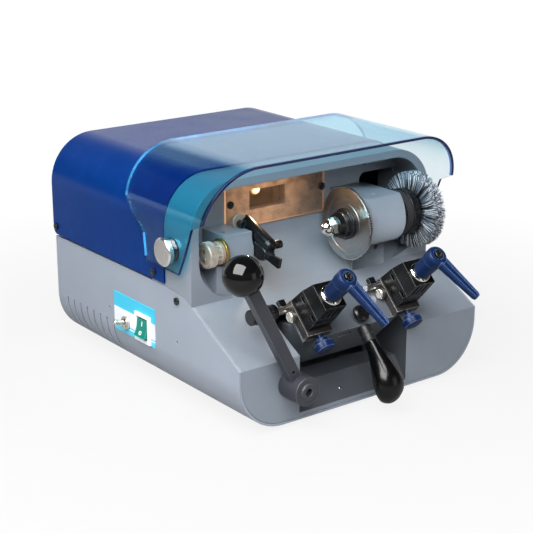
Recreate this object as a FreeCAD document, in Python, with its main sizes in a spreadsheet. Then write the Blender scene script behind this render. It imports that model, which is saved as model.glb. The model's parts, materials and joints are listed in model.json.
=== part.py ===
import FreeCAD, Part
import Sketcher
import math
import os
import types

# Key duplicating machine. X runs to the right, Y to the back, Z up, all in millimetres.
# The origin lies on the table under the middle of the casing.
# Heights in the table below are taken from the underside of the casing, which stands on four feet.

document = FreeCAD.newDocument("key_machine")

tableOfSizes = {
    # casing
    "foot_height": 5.0,
    "foot_diameter": 24.0,
    "foot_across": 180.0,
    "foot_along": 300.0,
    "body_width": 320.0,
    "body_depth": 357.4,
    "joint_height": 123.0,
    "shell_sheet": 2.5,
    "shell_corner": 54.0,
    "fit_gap": 0.3,
    "nose_height": 69.1,
    "slope_reach": 86.2,
    "slope_height": 119.2,
    "vent_width": 2.8,
    "vent_pitch": 14.44,
    "vent_first": 55.8,
    "vent_height": 54.6,
    "vent_inset": 42.0,
    # cover and rear panel
    "cover_front": 51.3,
    "cover_height": 126.5,
    "cover_sheet": 2.0,
    "cover_foot_corner": 8.0,
    "panel_depth": 15.0,
    "panel_sheet": 2.0,
    # front casting
    "casting_wall": 5.5,
    "arch_front": 98.0,
    "arch_back": 25.0,
    "arch_top": 236.4,
    "arch_corner": 51.0,
    "arch_band": 10.0,
    "arch_head": 8.4,
    "bay_back": 60.0,
    "bay_radius": 65.0,
    "bay_foot": 115.0,
    "bay_corner": 42.0,
    "pocket_left": 85.5,
    "pocket_right": 58.7,
    "pocket_back": 124.0,
    "pocket_wall": 5.5,
    "pocket_lip": 7.5,
    "pocket_crease": 160.0,
    "pocket_shelf": 32.0,
    # switches
    "plate_front": 29.2,
    "plate_rear": 51.9,
    "plate_foot": 48.0,
    "plate_top": 91.0,
    "plate_sheet": 0.8,
    "rocker_front": 22.0,
    "rocker_width": 29.0,
    "rocker_height": 64.75,
    "rocker_tall": 31.5,
    "bezel_rim": 2.5,
    "toggle_y": 26.7,
    "toggle_z": 61.0,
    "toggle_tilt": 12.0,
    "pivot_pin": 2.4,
    "panel_hole": 3.5,
    # fasteners
    "head_diameter": 8.0,
    "head_height": 2.2,
    "shank_diameter": 4.0,
    # shield
    "hinge_y": 66.0,
    "hinge_z": 165.5,
    "shield_gap": 5.0,
    "shield_sheet": 3.0,
    "shield_top": 259.0,
    "shield_bend": 60.0,
    "knob_diameter": 30.0,
    "knob_reach": 6.0,
    # lamp
    "lamp_left": 92.0,
    "lamp_right": 38.5,
    "lamp_foot": 173.0,
    "lamp_top": 220.0,
    "lamp_sheet": 3.0,
    "lamp_x": 44.0,
    "lamp_z": 207.0,
    "lamp_diameter": 16.0,
    # spindle
    "spindle_y": 105.0,
    "spindle_z": 168.2,
    "shaft_diameter": 12.0,
    "housing_left": 49.0,
    "housing_right": 95.0,
    "housing_radius": 28.0,
    "housing_top": 193.0,
    "housing_flat": 117.0,
    "housing_web": 100.0,
    "bearing_diameter": 28.0,
    "bearing_width": 8.0,
    "cutter_x": 34.4,
    "cutter_thick": 3.2,
    "cutter_diameter": 80.0,
    "pulley_x": 97.0,
    "pulley_width": 23.0,
    "pulley_diameter": 52.0,
    "brush_x": 123.0,
    "brush_gap": 1.0,
    "brush_width": 19.0,
    "brush_diameter": 85.0,
    "brush_core": 40.0,
    # motor and belt
    "motor_y": 75.0,
    "motor_z": 140.0,
    "motor_diameter": 100.0,
    "motor_left": 60.0,
    "motor_right": 88.0,
    "motor_pulley_diameter": 60.0,
    "belt_x": 101.0,
    "belt_width": 9.0,
    "belt_thick": 4.0,
    "groove_depth": 5.0,
    # tracer
    "tracer_y": 95.0,
    "tracer_z": 163.0,
    "tracer_left": 120.0,
    "tracer_right": 86.0,
    "tracer_top": 180.0,
    "tracer_step": 148.0,
    "tracer_knob_diameter": 27.0,
    "tracer_body_diameter": 14.0,
    "tracer_body_length": 52.0,
    "tracer_tilt": 21.5,
    "tracer_wall": 1.8,
    "finger_thick": 3.0,
    # clamp carriage, in a frame tilted forward
    "clamp_inset": 24.7,
    "clamp_z": 119.3,
    "clamp_tilt": 45.0,
    "clamp_left": -63.5,
    "clamp_spacing": 119.0,
    "jaw_width": 27.0,
    "jaw_depth": 36.8,
    "jaw_split": 22.0,
    "jaw_top": 41.0,
    "stud_reach": 21.5,
    "stud_diameter": 8.0,
    "base_depth": 42.0,
    "base_height": 10.0,
    "deck_sheet": 3.0,
    "apron_left": 60.0,
    "apron_right": 45.6,
    "arm_waist": 43.5,
    "apron_drop": 72.0,
    "apron_sheet": 4.3,
    "pivot_back": 1.2,
    "pivot_drop": 78.0,
    "rail_diameter": 14.0,
    "bush_diameter": 19.0,
    "tube_diameter": 28.0,
    "hub_height": 35.0,
    "hub_diameter": 20.0,
    "arm_reach": 58.6,
    "left_arm_turn": 18.0,
    "right_arm_turn": 23.0,
    "thumb_diameter": 22.0,
    "thumb_drop": 3.7,
    "gauge_diameter": 7.0,
    "gauge_reach": 6.0,
    "gauge_drop": 5.0,
    "handle_x": 2.0,
    "handle_neck": 13.0,
    "handle_bulb": 32.0,
    "lock_x": -1.4,
    "lock_reach": 31.5,
    # traverse lever
    "lever_x": 98.0,
    "lever_z": 43.0,
    "lever_tilt": 27.6,
    "lever_hub_diameter": 30.0,
    "lever_hub_length": 28.5,
    "lever_length": 146.0,
    "ball_diameter": 40.0,
}


def number(term):
    return term.value if isinstance(term, Size) else float(term)


def words(term):
    return term.text if isinstance(term, Size) else "(" + repr(float(term)) + ")"


# A size keeps its number together with the formula that binds it to the table.
class Size:
    def __init__(self, value, text):
        self.value = float(value)
        self.text = text

    def __add__(self, other):
        return Size(self.value + number(other), "(" + self.text + " + " + words(other) + ")")

    def __radd__(self, other):
        return self + other

    def __sub__(self, other):
        return Size(self.value - number(other), "(" + self.text + " - " + words(other) + ")")

    def __rsub__(self, other):
        return Size(number(other) - self.value, "(" + words(other) + " - " + self.text + ")")

    def __mul__(self, other):
        return Size(self.value * number(other), "(" + self.text + " * " + words(other) + ")")

    def __rmul__(self, other):
        return self * other

    def __truediv__(self, other):
        return Size(self.value / number(other), "(" + self.text + " / " + words(other) + ")")

    def __neg__(self):
        return self * -1.0


sheet = document.addObject("Spreadsheet::Sheet", "sizes")
for row, (alias, value) in enumerate(tableOfSizes.items(), start=1):
    sheet.set("A" + str(row), str(value))
    sheet.setAlias("A" + str(row), alias)
document.recompute()
s = types.SimpleNamespace(**{name: Size(value, "sizes." + name) for name, value in tableOfSizes.items()})


def sine(angle):
    return Size(math.sin(math.radians(angle.value)), "sin(" + angle.text + " * 1deg)")


def cosine(angle):
    return Size(math.cos(math.radians(angle.value)), "cos(" + angle.text + " * 1deg)")


def bind(thing, path, term):
    if isinstance(term, Size):
        thing.setExpression(path, term.text)


def place(thing, at, axis=(0, 0, 1), turn=0.0):
    base = FreeCAD.Vector(*[number(term) for term in at])
    thing.Placement = FreeCAD.Placement(base, FreeCAD.Rotation(FreeCAD.Vector(*axis), number(turn)))
    for letter, term in zip("xyz", at):
        bind(thing, "Placement.Base." + letter, term)
    bind(thing, "Placement.Rotation.Angle", turn)
    return thing


def measure(thing, name, term):
    setattr(thing, name, number(term))
    bind(thing, name, term)


def block(x, y, z):
    thing = document.addObject("Part::Box", "block")
    for name, (low, high) in zip(("Length", "Width", "Height"), (x, y, z)):
        measure(thing, name, high - low)
    return place(thing, (x[0], y[0], z[0]))


axisTurns = {"x": ((0, 1, 0), 90.0), "y": ((1, 0, 0), -90.0), "z": ((0, 0, 1), 0.0)}


def spanned(thing, axis, span, centre):
    measure(thing, "Height", span[1] - span[0])
    at = {"x": (span[0], *centre), "y": (centre[0], span[0], centre[1]), "z": (*centre, span[0])}[axis]
    return place(thing, at, *axisTurns[axis])


def rod(axis, span, centre, diameter):
    thing = document.addObject("Part::Cylinder", "rod")
    measure(thing, "Radius", diameter / 2)
    return spanned(thing, axis, span, centre)


def taper(axis, span, centre, firstDiameter, lastDiameter):
    thing = document.addObject("Part::Cone", "taper")
    measure(thing, "Radius1", firstDiameter / 2)
    measure(thing, "Radius2", lastDiameter / 2)
    return spanned(thing, axis, span, centre)


def ball(at, diameter):
    thing = document.addObject("Part::Sphere", "ball")
    measure(thing, "Radius", diameter / 2)
    return place(thing, at)


# A straight-sided outline drawn in one plane and drawn out square to it.
def prism(plane, points, span):
    sketch = document.addObject("Sketcher::SketchObject", "outline")
    flat = [FreeCAD.Vector(number(a), number(b), 0) for a, b in points]
    lines = [sketch.addGeometry(Part.LineSegment(flat[i - 1], flat[i])) for i in range(1, len(flat))]
    lines.append(sketch.addGeometry(Part.LineSegment(flat[-1], flat[0])))
    for i, line in enumerate(lines):
        sketch.addConstraint(Sketcher.Constraint("Coincident", line, 2, lines[(i + 1) % len(lines)], 1))
    for line, point in zip(lines, points):
        for kind, term in zip(("DistanceX", "DistanceY"), point):
            index = sketch.addConstraint(Sketcher.Constraint(kind, -1, 1, line, 1, number(term)))
            bind(sketch, "Constraints[" + str(index) + "]", term)
    if plane == "yz":
        place(sketch, (span[0], 0, 0), (1, 1, 1), 120.0)
    elif plane == "xz":
        place(sketch, (0, span[1], 0), (1, 0, 0), 90.0)
    else:
        place(sketch, (0, 0, span[0]))
    thing = document.addObject("Part::Extrusion", "prism")
    thing.Base = sketch
    thing.DirMode = "Normal"
    thing.Solid = True
    measure(thing, "LengthFwd", span[1] - span[0])
    return thing


def joined(*pieces):
    thing = document.addObject("Part::MultiFuse", "joined")
    thing.Shapes = list(pieces)
    thing.Refine = True
    return thing


def grouped(*pieces):
    thing = document.addObject("Part::Compound", "grouped")
    thing.Links = list(pieces)
    return thing


def without(base, *tools):
    thing = document.addObject("Part::Cut", "without")
    thing.Base = base
    thing.Tool = tools[0] if len(tools) == 1 else joined(*tools)
    return thing


def shared(*pieces):
    thing = document.addObject("Part::MultiCommon", "shared")
    thing.Shapes = list(pieces)
    return thing


# Rounds the straight edges that run along one axis and whose middle passes the test.
def rounded(base, radius, axis, test):
    document.recompute()
    way = FreeCAD.Vector(*[float(letter == axis) for letter in "xyz"])
    chosen = []
    for index, edge in enumerate(base.Shape.Edges, start=1):
        if isinstance(edge.Curve, Part.Line) and abs(edge.Curve.Direction.dot(way)) > 0.999:
            if test(edge.CenterOfMass):
                chosen.append((index, number(radius), number(radius)))
    thing = document.addObject("Part::Fillet", "rounded")
    thing.Base = base
    thing.Edges = chosen
    return thing


def near(value, term, reach=0.5):
    return abs(value - number(term)) < reach


nodes = []


# A finished piece gets its own name and stands on the feet.
def piece(label, *things):
    thing = grouped(*things)
    thing.Label = label
    nodes.append(place(thing, (0, 0, s.foot_height)))


# A piece of the carriage lies in the tilted clamp frame.
def tilted(label, *things):
    thing = grouped(*things)
    thing.Label = label
    nodes.append(place(thing, (0, clampY, s.clamp_z + s.foot_height), (1, 0, 0), s.clamp_tilt))


half = s.body_width / 2
back = s.body_depth / 2
front = -back
gap = s.fit_gap
clampY = front + s.clamp_inset
slopeRise = (s.slope_height - s.nose_height) / (back - s.slope_reach)


def onSlope(y):
    return s.nose_height + (y + back) * slopeRise


def bothSides(make):
    return [make(-1.0), make(1.0)]


def sideSpan(side, inner, outer):
    return (-outer, -inner) if side < 0 else (inner, outer)


# screws

coverProud = s.cover_sheet + gap
sideScrews = [(-71.8, 112.6, 0.0), (-32.3, 134.2, coverProud), (back - 7, 135.7, coverProud)]
lampScrews = [(-87.0, 199.6), (34.5, 201.0)]


def sideShanks(diameter, row):
    y, z, proud = row
    return bothSides(lambda side: rod("x", sideSpan(side, half - 9, half + proud), (y, z), diameter))


screwHoles = [hole for row in sideScrews for hole in sideShanks(s.shank_diameter + 2 * gap, row)]
lampFace = -s.bay_back - s.lamp_sheet
lampHoles = [rod("y", (lampFace - 1, lampFace + 9), at, s.shank_diameter + 2 * gap) for at in lampScrews]
screws = []
for row in sideScrews:
    for side, shank in zip((-1.0, 1.0), sideShanks(s.shank_diameter, row)):
        seat = half + row[2]
        head = rod("x", sideSpan(side, seat, seat + s.head_height), row[:2], s.head_diameter)
        socket = rod("x", sideSpan(side, seat + 1, seat + s.head_height + 1), row[:2], 3.2)
        screws.append(without(joined(head, shank), socket))
for at in lampScrews:
    head = rod("y", (lampFace - s.head_height, lampFace), at, s.head_diameter)
    shank = rod("y", (lampFace - 1, lampFace + 8), at, s.shank_diameter)
    socket = rod("y", (lampFace - s.head_height - 1, lampFace - 1), at, 3.2)
    screws.append(without(joined(head, shank), socket))
piece("case_screws", *screws)

# base shell with its vents and switch openings

shellOuter = rounded(block((-half, half), (front, back), (0, s.joint_height)), s.shell_corner, "y",
                     lambda c: c.z < 1)
inside = half - s.shell_sheet
shellInner = rounded(block((-inside, inside), (front - 1, back + 1), (s.shell_sheet, s.joint_height + 1)),
                     s.shell_corner - s.shell_sheet, "y", lambda c: c.z < number(s.shell_sheet) + 1)
shellFront = prism("yz", [(front - 1, onSlope(front - 1)), (-s.slope_reach, s.slope_height),
                          (-s.cover_front, s.joint_height), (-s.cover_front, s.joint_height + 5),
                          (front - 1, s.joint_height + 5)], (-half - 1, half + 1))
vents = []
for count in range(8):
    y = s.vent_first + count * s.vent_pitch
    for side in (-1.0, 1.0):
        vents.append(block(sideSpan(side, half - s.vent_inset, half + 1),
                           (y - s.vent_width / 2, y + s.vent_width / 2), (-1, s.vent_height)))
rockerY = (-s.rocker_front, s.rocker_width - s.rocker_front)
rockerZ = (s.rocker_height - s.rocker_tall / 2, s.rocker_height + s.rocker_tall / 2)
rim = s.bezel_rim
bodyY = (rockerY[0] + rim, rockerY[1] - rim)
bodyZ = (rockerZ[0] + rim, rockerZ[1] - rim)
toggleAt = (s.toggle_y, s.toggle_z)


def switchHoles():
    slot = block((-half - 5, -inside + 5), (bodyY[0] - gap, bodyY[1] + gap), (bodyZ[0] - gap, bodyZ[1] + gap))
    return slot, rod("x", (-half - 5, -inside + 5), toggleAt, 12 + 2 * gap)


sideHoles = [rod("x", (-half - 1, -inside + 1), at, s.panel_hole) for at in ((-70.4, 67), (63.4, 67.7))]
piece("base_shell", without(without(shellOuter, shellInner, shellFront), *vents, *sideHoles, *switchHoles(),
                            *screwHoles))

feet = [rod("z", (-s.foot_height, 0), (x * s.foot_across / 2, y * s.foot_along / 2), s.foot_diameter)
        for x in (-1, 1) for y in (-1, 1)]
piece("feet", *feet)

# front casting: nose, slope, hollow working bay and arch

wall = s.casting_wall
castIn = inside - gap
castFoot = s.shell_sheet + gap
slant = 1.14 * wall
bayBack = -s.bay_back
profile = prism("yz", [(front, castFoot), (front, s.nose_height), (bayBack, onSlope(bayBack)),
                       (bayBack, s.arch_top - 1), (bayBack + wall, s.arch_top - 1),
                       (bayBack + wall, onSlope(bayBack + wall) - slant),
                       (front + wall, onSlope(front + wall) - slant), (front + wall, castFoot)],
                (-castIn, castIn))
profile = rounded(profile, s.bay_radius, "x",
                  lambda c: near(c.y, bayBack) and c.z < number(s.joint_height) + 40)
profile = rounded(profile, s.bay_radius + wall, "x",
                  lambda c: near(c.y, bayBack + wall) and c.z < number(s.joint_height) + 40)
cheeks = bothSides(lambda side: prism("yz", [
    (front, castFoot), (front, s.nose_height - 1), (-s.slope_reach, s.slope_height - 1),
    (bayBack + wall, s.slope_height), (bayBack + wall, 60), (-130, castFoot)],
    sideSpan(side, castIn - wall, castIn)))
section = rounded(rounded(block((-castIn, castIn), (front, -s.arch_back), (castFoot, s.arch_top - 1)),
                          s.shell_corner - castFoot, "y", lambda c: c.z < number(castFoot) + 1),
                  s.arch_corner, "y", lambda c: c.z > number(s.arch_top) - 2)
pocketX = (-s.pocket_left, s.pocket_right)
mouth = block(pocketX, (front - 1, -s.pocket_back), (s.pocket_lip, s.slope_height + 20))
nose = without(shared(joined(profile, *cheeks), section), mouth)
archOuter = rounded(block((-half, half), (-s.arch_front, -s.arch_back), (s.bay_foot - 10, s.arch_top)),
                    s.arch_corner, "y", lambda c: c.z > number(s.arch_top) - 1)
opening = half - s.arch_band


def archHollow(y, foot):
    hollow = block((-opening, opening), y, (foot, s.arch_top - s.arch_head))
    return rounded(hollow, s.bay_corner, "y", lambda c: c.z > 0)


frontHollow = archHollow((-s.arch_front - 1, bayBack + 1), s.bay_foot)
rearHollow = rounded(block((-opening, opening), (bayBack, -s.arch_back + 1), (50, s.arch_top - s.arch_head)),
                     s.bay_corner, "y", lambda c: c.z > 100)
legs = bothSides(lambda side: prism("yz", [
    (-s.arch_front - 1, 90), (-s.arch_front - 1, onSlope(-s.arch_front - 1) + gap),
    (-s.slope_reach, s.slope_height + gap), (-s.cover_front, s.joint_height + gap),
    (-s.arch_back + 1, s.joint_height + gap), (-s.arch_back + 1, 90)], sideSpan(side, castIn, half + 1)))
arch = without(archOuter, frontHollow, rearHollow, *legs)
pivotY = clampY + s.pivot_back * cosine(s.clamp_tilt) + s.pivot_drop * sine(s.clamp_tilt)
pivotZ = s.clamp_z + s.pivot_back * sine(s.clamp_tilt) - s.pivot_drop * cosine(s.clamp_tilt)


def pocketWall(span):
    return prism("yz", [(front, castFoot), (front, s.nose_height), (pivotY + 14, onSlope(pivotY + 14) - 2),
                        (pivotY + 14, pivotZ - 14), (-s.pocket_back, castFoot)], span)


pocketWalls = [pocketWall((-s.pocket_left - s.pocket_wall, -s.pocket_left)),
               pocketWall((s.pocket_right, s.pocket_right + s.pocket_wall))]
crease = -s.pocket_crease
pocketFloor = prism("yz", [(front, castFoot), (front, s.pocket_lip), (crease, s.pocket_shelf - 1),
                           (crease + 26, s.pocket_shelf), (crease + 26, s.pocket_shelf - 5),
                           (crease + 3, s.pocket_shelf - 6), (front + 22, castFoot)],
                    (pocketX[0] - 1, pocketX[1] + 1))
beltHole = rounded(block((91, 149), (-80, bayBack + wall + 2), (132, 206)), 8, "y", lambda c: c.z > 0)
lampWindow = rounded(block((-62, -15), (bayBack - 1, bayBack + wall + 2), (190, 211)), 4, "y",
                     lambda c: c.z > 0)
castingHoles = [
    rod("y", (bayBack - 1, bayBack + wall + 1), (98.4, 217), 5),
    rod("x", (-s.pocket_left - 20, s.pocket_right + 20), (pivotY, pivotZ), s.rail_diameter + 2 * gap),
    rod("y", (front - 1, front + wall + 20), (-s.lever_x, s.lever_z), 12 + 2 * gap),
    *bothSides(lambda side: rod("x", sideSpan(side, opening - 1, half + 1), (-s.hinge_y, s.hinge_z),
                                6 + 2 * gap))]
spindleAt = (-s.spindle_y, s.spindle_z)
brushEnd = s.brush_x + s.brush_width
brushRoom = rod("x", (s.brush_x - s.brush_gap, brushEnd + s.brush_gap), spindleAt,
                s.brush_diameter + 2 * s.brush_gap)
castingForm = without(joined(nose, arch, *pocketWalls, pocketFloor), brushRoom)
piece("front_casting", without(castingForm, beltHole, lampWindow, *castingHoles, *screwHoles, *lampHoles))

# everything that stands in the bay is trimmed to its hollow floor
baySpace = prism("yz", [(bayBack, onSlope(bayBack)), (bayBack, 300), (front, 300), (front, s.nose_height)],
                 (-opening, opening))
baySpace = rounded(baySpace, s.bay_radius, "x", lambda c: near(c.y, bayBack) and c.z < 200)

# top cover and rear panel

coverIn = half + gap
coverOut = coverIn + s.cover_sheet
coverTop = s.arch_top + gap
coverY = (-s.cover_front, back)
coverOuter = rounded(block((-coverOut, coverOut), coverY, (s.cover_height, coverTop + s.cover_sheet)),
                     s.arch_corner + gap + s.cover_sheet, "y", lambda c: c.z > 200)
coverInner = rounded(block((-coverIn, coverIn), (coverY[0] - 1, back + 1), (s.cover_height - 1, coverTop)),
                     s.arch_corner + gap, "y", lambda c: c.z > 200)
coverSide = rounded(block((-half - 9, half + 9), coverY, (s.cover_height, 300)),
                    s.cover_foot_corner, "x", lambda c: c.z < 200 and c.y > 0)
piece("top_cover", without(shared(without(coverOuter, coverInner), coverSide), *screwHoles))

panelBack = back - 1
panelFront = panelBack - s.panel_depth
panelIn = castIn - gap


def panelShape(y, lower, upper, inset, corner):
    low = rounded(block((-lower, lower), y, (castFoot + inset, s.joint_height)), corner - castFoot, "y",
                  lambda c: c.z < 50)
    high = rounded(block((-upper, upper), y, (s.joint_height - 30, s.arch_top - inset)),
                   corner - castFoot, "y", lambda c: c.z > 200)
    trim = bothSides(lambda side: block(sideSpan(side, lower, half + 9), (y[0] - 1, y[1] + 1),
                                        (0, s.joint_height + 2)))
    return without(joined(low, high), *trim)


panel = without(panelShape((panelFront, panelBack), panelIn, half - gap, 0.0, s.shell_corner),
                panelShape((panelFront - 1, panelBack - s.panel_sheet), panelIn - s.panel_sheet,
                           half - gap - s.panel_sheet, s.panel_sheet, s.shell_corner - s.panel_sheet))
inletX = (66, 94)
inletZ = (34, 54)
inletHole = block((inletX[0] - gap, inletX[1] + gap), (panelFront, back + 9),
                  (inletZ[0] - gap, inletZ[1] + gap))
piece("rear_panel", without(panel, inletHole, *screwHoles))

inletFlange = block((inletX[0] - 10, inletX[1] + 10), (panelBack, panelBack + 3),
                    (inletZ[0] - 2, inletZ[1] + 2))
inletBody = block(inletX, (panelBack - 22, panelBack + 1), inletZ)
inletWell = block((inletX[0] + 3, inletX[1] - 3), (panelBack - 14, panelBack + 4),
                  (inletZ[0] + 3, inletZ[1] - 3))
inletPins = [block((x - 2, x + 2), (panelBack - 15, panelBack - 1), (z - 1, z + 1))
             for x, z in ((73, 42), (80, 46.5), (87, 42))]
piece("power_inlet", joined(without(joined(inletFlange, inletBody), inletWell), *inletPins))

# switches on the left side

plateFace = -half - s.plate_sheet
plate = block((plateFace, -half), (-s.plate_front, s.plate_rear), (s.plate_foot, s.plate_top))
piece("switch_plate", without(plate, *switchHoles()))

bezelFace = plateFace - 2.5
bezel = joined(block((bezelFace, plateFace), rockerY, rockerZ),
               block((plateFace - 1, plateFace + 24), bodyY, bodyZ))
bezelWell = block((bezelFace - 1, plateFace + 16), (bodyY[0] + 1.5, bodyY[1] - 1.5),
                  (bodyZ[0] + 1.2, bodyZ[1] - 1.2))
rockX = plateFace + 4
rockZ = s.rocker_height
rockAt = (rockX, rockZ)
piece("rocker_bezel", without(bezel, bezelWell, rod("y", bodyY, rockAt, s.pivot_pin + 2 * gap)))

rockY = (bodyY[0] + 2.1, bodyY[1] - 2.1)
rockerShape = prism("xz", [(rockX + 3, rockZ + 7), (rockX - 5.5, rockZ + 9.8), (rockX - 6.8, rockZ),
                           (rockX - 10.4, rockZ - 9.4), (rockX + 3, rockZ - 7)], rockY)
piece("rocker", joined(rockerShape, rod("y", (rockY[0] - 1.4, rockY[1] + 1.4), rockAt, s.pivot_pin)))

nutFace = plateFace - 3
bushBody = joined(rod("x", (nutFace, plateFace), toggleAt, 15),
                  rod("x", (plateFace - 1, plateFace + 20), toggleAt, 12))
batAt = (plateFace + 1, s.toggle_y, s.toggle_z)
batHole = rod("y", (s.toggle_y - 5.6, s.toggle_y + 5.6), (batAt[0], batAt[2]), s.pivot_pin + 2 * gap)
piece("toggle_bush", without(bushBody, rod("x", (nutFace - 1, plateFace + 8), toggleAt, 9), batHole))

bat = joined(ball((0, 0, 0), 9 - 2 * gap), taper("z", (0, 15), (0, 0), 3.6, 6.0), ball((0, 0, 15), 6.0),
             rod("y", (-5.2, 5.2), (0, 0), s.pivot_pin))
piece("toggle_lever", place(grouped(bat), batAt, (0, 1, 0), -90 + s.toggle_tilt))

# see-through shield with its two hinge knobs

shieldY = (-150, 20)
hingeAt = (-s.hinge_y, s.hinge_z)
shieldIn = half + s.shield_gap
shieldHalf = shieldIn + s.shield_sheet
shieldOuter = rounded(block((-shieldHalf, shieldHalf), shieldY, (140, s.shield_top)), s.shield_bend, "y",
                      lambda c: c.z > 200)
shieldInner = rounded(block((-shieldIn, shieldIn), (shieldY[0] - 1, shieldY[1] + 1),
                            (139, s.shield_top - s.shield_sheet)),
                      s.shield_bend - s.shield_sheet, "y", lambda c: c.z > 200)
shieldSide = prism("yz", [(-86.7, 145.5), (-99, 170), (-111, 198), (-129, 206), (-144, 265), (12.5, 265),
                          (11, 208), (-2, 191.5), (-14, 183), (-22.4, 175), (-25, 150.7), (-29.4, 147.3)],
                   (-shieldHalf - 1, shieldHalf + 1))
shieldHoles = bothSides(lambda side: rod("x", sideSpan(side, shieldIn - 1, shieldHalf + 1), hingeAt,
                                         6 + 2 * gap))
piece("shield", without(shared(without(shieldOuter, shieldInner), shieldSide), *shieldHoles))


def shieldKnob(side):
    seat = shieldHalf
    edge = seat + s.knob_reach
    body = rod("x", sideSpan(side, seat, edge - 1.5), hingeAt, s.knob_diameter)
    large, small = s.knob_diameter, s.knob_diameter - 3
    ends = (small, large) if side < 0 else (large, small)
    bevel = taper("x", sideSpan(side, edge - 1.5, edge), hingeAt, *ends)
    return joined(body, bevel, rod("x", sideSpan(side, opening + 1, seat + 1), hingeAt, 6))


piece("shield_knobs", *bothSides(shieldKnob))


def shieldSpacer(side):
    bore = rod("x", sideSpan(side, half - 1, shieldIn + 1), hingeAt, 6 + 2 * gap)
    return without(rod("x", sideSpan(side, half, shieldIn - gap), hingeAt, 24), bore)


piece("shield_spacers", *bothSides(shieldSpacer))

# lamp behind the bay

lampPlate = block((-s.lamp_left, s.lamp_right), (lampFace, bayBack), (s.lamp_foot, s.lamp_top))
piece("lamp_plate", without(lampPlate, castingForm, *lampHoles))
lampY = bayBack + wall + 2 + s.lamp_diameter / 2
neckEnd = -s.lamp_x + 20
bulbAt = (-s.lamp_x, lampY, s.lamp_z)
piece("lamp_bulb", joined(place(grouped(ball((0, 0, 0), s.lamp_diameter)), bulbAt, (0, 1, 0), 90.0),
                          rod("x", (-s.lamp_x, neckEnd), (lampY, s.lamp_z), 9)))
wallBack = bayBack + wall
piece("lamp_holder", joined(block((neckEnd, neckEnd + 16), (wallBack, lampY + 8),
                                  (s.lamp_z - 8, s.lamp_z + 8)),
                            block((neckEnd + 2, neckEnd + 14), (wallBack, wallBack + 3),
                                  (s.lamp_z - 24, s.lamp_z + 16))))

# spindle with cutter, pulley and brush

boreDiameter = s.shaft_diameter + 2 * gap
housingX = (s.housing_left, s.housing_right)
housing = joined(rod("x", housingX, spindleAt, 2 * s.housing_radius),
                 rounded(block(housingX, (-s.housing_flat, bayBack), (s.spindle_z, s.housing_top)), 3, "x",
                         lambda c: c.z > 180 and c.y < -90),
                 block(housingX, (-s.spindle_y, bayBack), (s.spindle_z - 21, s.spindle_z + 2)),
                 block(housingX, (-s.housing_web, bayBack), (90, s.spindle_z - 10)))
dimples = [rod("z", (s.housing_top - 1.5, s.housing_top + 1), (x, -88), 5) for x in (64, 80)]
dimples.append(rod("y", (-s.housing_web - 1, -s.housing_web + 6), (82, 132), 6))
housingBore = rod("x", (s.housing_left - 1, s.housing_right + 1), spindleAt, s.bearing_diameter + 2 * gap)
piece("spindle_housing", without(shared(housing, baySpace), castingForm, housingBore, *dimples))


def ring(span, centre, outer, inner):
    return without(rod("x", span, centre, outer), rod("x", (span[0] - 1, span[1] + 1), centre, inner))


bearingSpans = [(s.housing_left, s.housing_left + s.bearing_width),
                (s.housing_right - s.bearing_width, s.housing_right)]
piece("spindle_bearings", *[ring(span, spindleAt, s.bearing_diameter, boreDiameter) for span in bearingSpans])

cutterEnd = s.cutter_x + s.cutter_thick
nutX = s.cutter_x - 20.4
piece("spindle_shaft", joined(rod("x", (nutX - 5, s.brush_x + s.brush_width), spindleAt, s.shaft_diameter),
                              rod("x", (cutterEnd, s.housing_left - gap), spindleAt, 22),
                              rod("x", (s.housing_left + s.bearing_width + gap,
                                        s.housing_right - s.bearing_width - gap), spindleAt, 18)))
piece("cutter", ring((s.cutter_x, cutterEnd), spindleAt, s.cutter_diameter, boreDiameter))
flange = joined(taper("x", (nutX, nutX + 6), spindleAt, 24, 27),
                rod("x", (nutX + 5, nutX + 9), spindleAt, 29), rod("x", (nutX + 8, nutX + 15), spindleAt, 26),
                rod("x", (nutX + 14, s.cutter_x), spindleAt, 34))
piece("cutter_flange", without(flange, rod("x", (nutX - 1, s.cutter_x + 1), spindleAt, boreDiameter)))
nutAngles = [math.radians(60 * i) for i in range(6)]
nutPoints = [(spindleAt[0] + 9.8 * math.cos(a), spindleAt[1] + 9.8 * math.sin(a)) for a in nutAngles]
nut = joined(prism("yz", nutPoints, (nutX - 7, nutX)), ball((nutX - 6, *spindleAt), 14.5))
piece("cutter_nut", without(nut, rod("x", (nutX - 5.5, nutX + 9), spindleAt, boreDiameter)))

beltSpan = (s.belt_x, s.belt_x + s.belt_width)


def groovedWheel(span, centre, diameter, bore):
    core = diameter - 2 * s.groove_depth
    wheel = joined(rod("x", (span[0], beltSpan[0] - gap), centre, diameter), rod("x", span, centre, core),
                   rod("x", (beltSpan[1] + gap, span[1]), centre, diameter))
    return without(wheel, rod("x", (span[0] - 1, span[1] + 1), centre, bore)) if bore else wheel


piece("spindle_pulley", groovedWheel((s.pulley_x, s.pulley_x + s.pulley_width), spindleAt, s.pulley_diameter,
                                     boreDiameter))
hub = joined(rod("x", (s.pulley_x + s.pulley_width, brushEnd), spindleAt, s.brush_core),
             rod("x", (brushEnd - 1, brushEnd + 1.5), spindleAt, 24))
piece("brush_hub", without(hub, rod("x", (s.brush_x - 4, brushEnd + 0.5), spindleAt, boreDiameter)))
piece("brush_bristles", ring((s.brush_x, brushEnd), spindleAt, s.brush_diameter, s.brush_core + 2 * gap))

# motor with its bracket and the belt to the spindle

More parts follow.
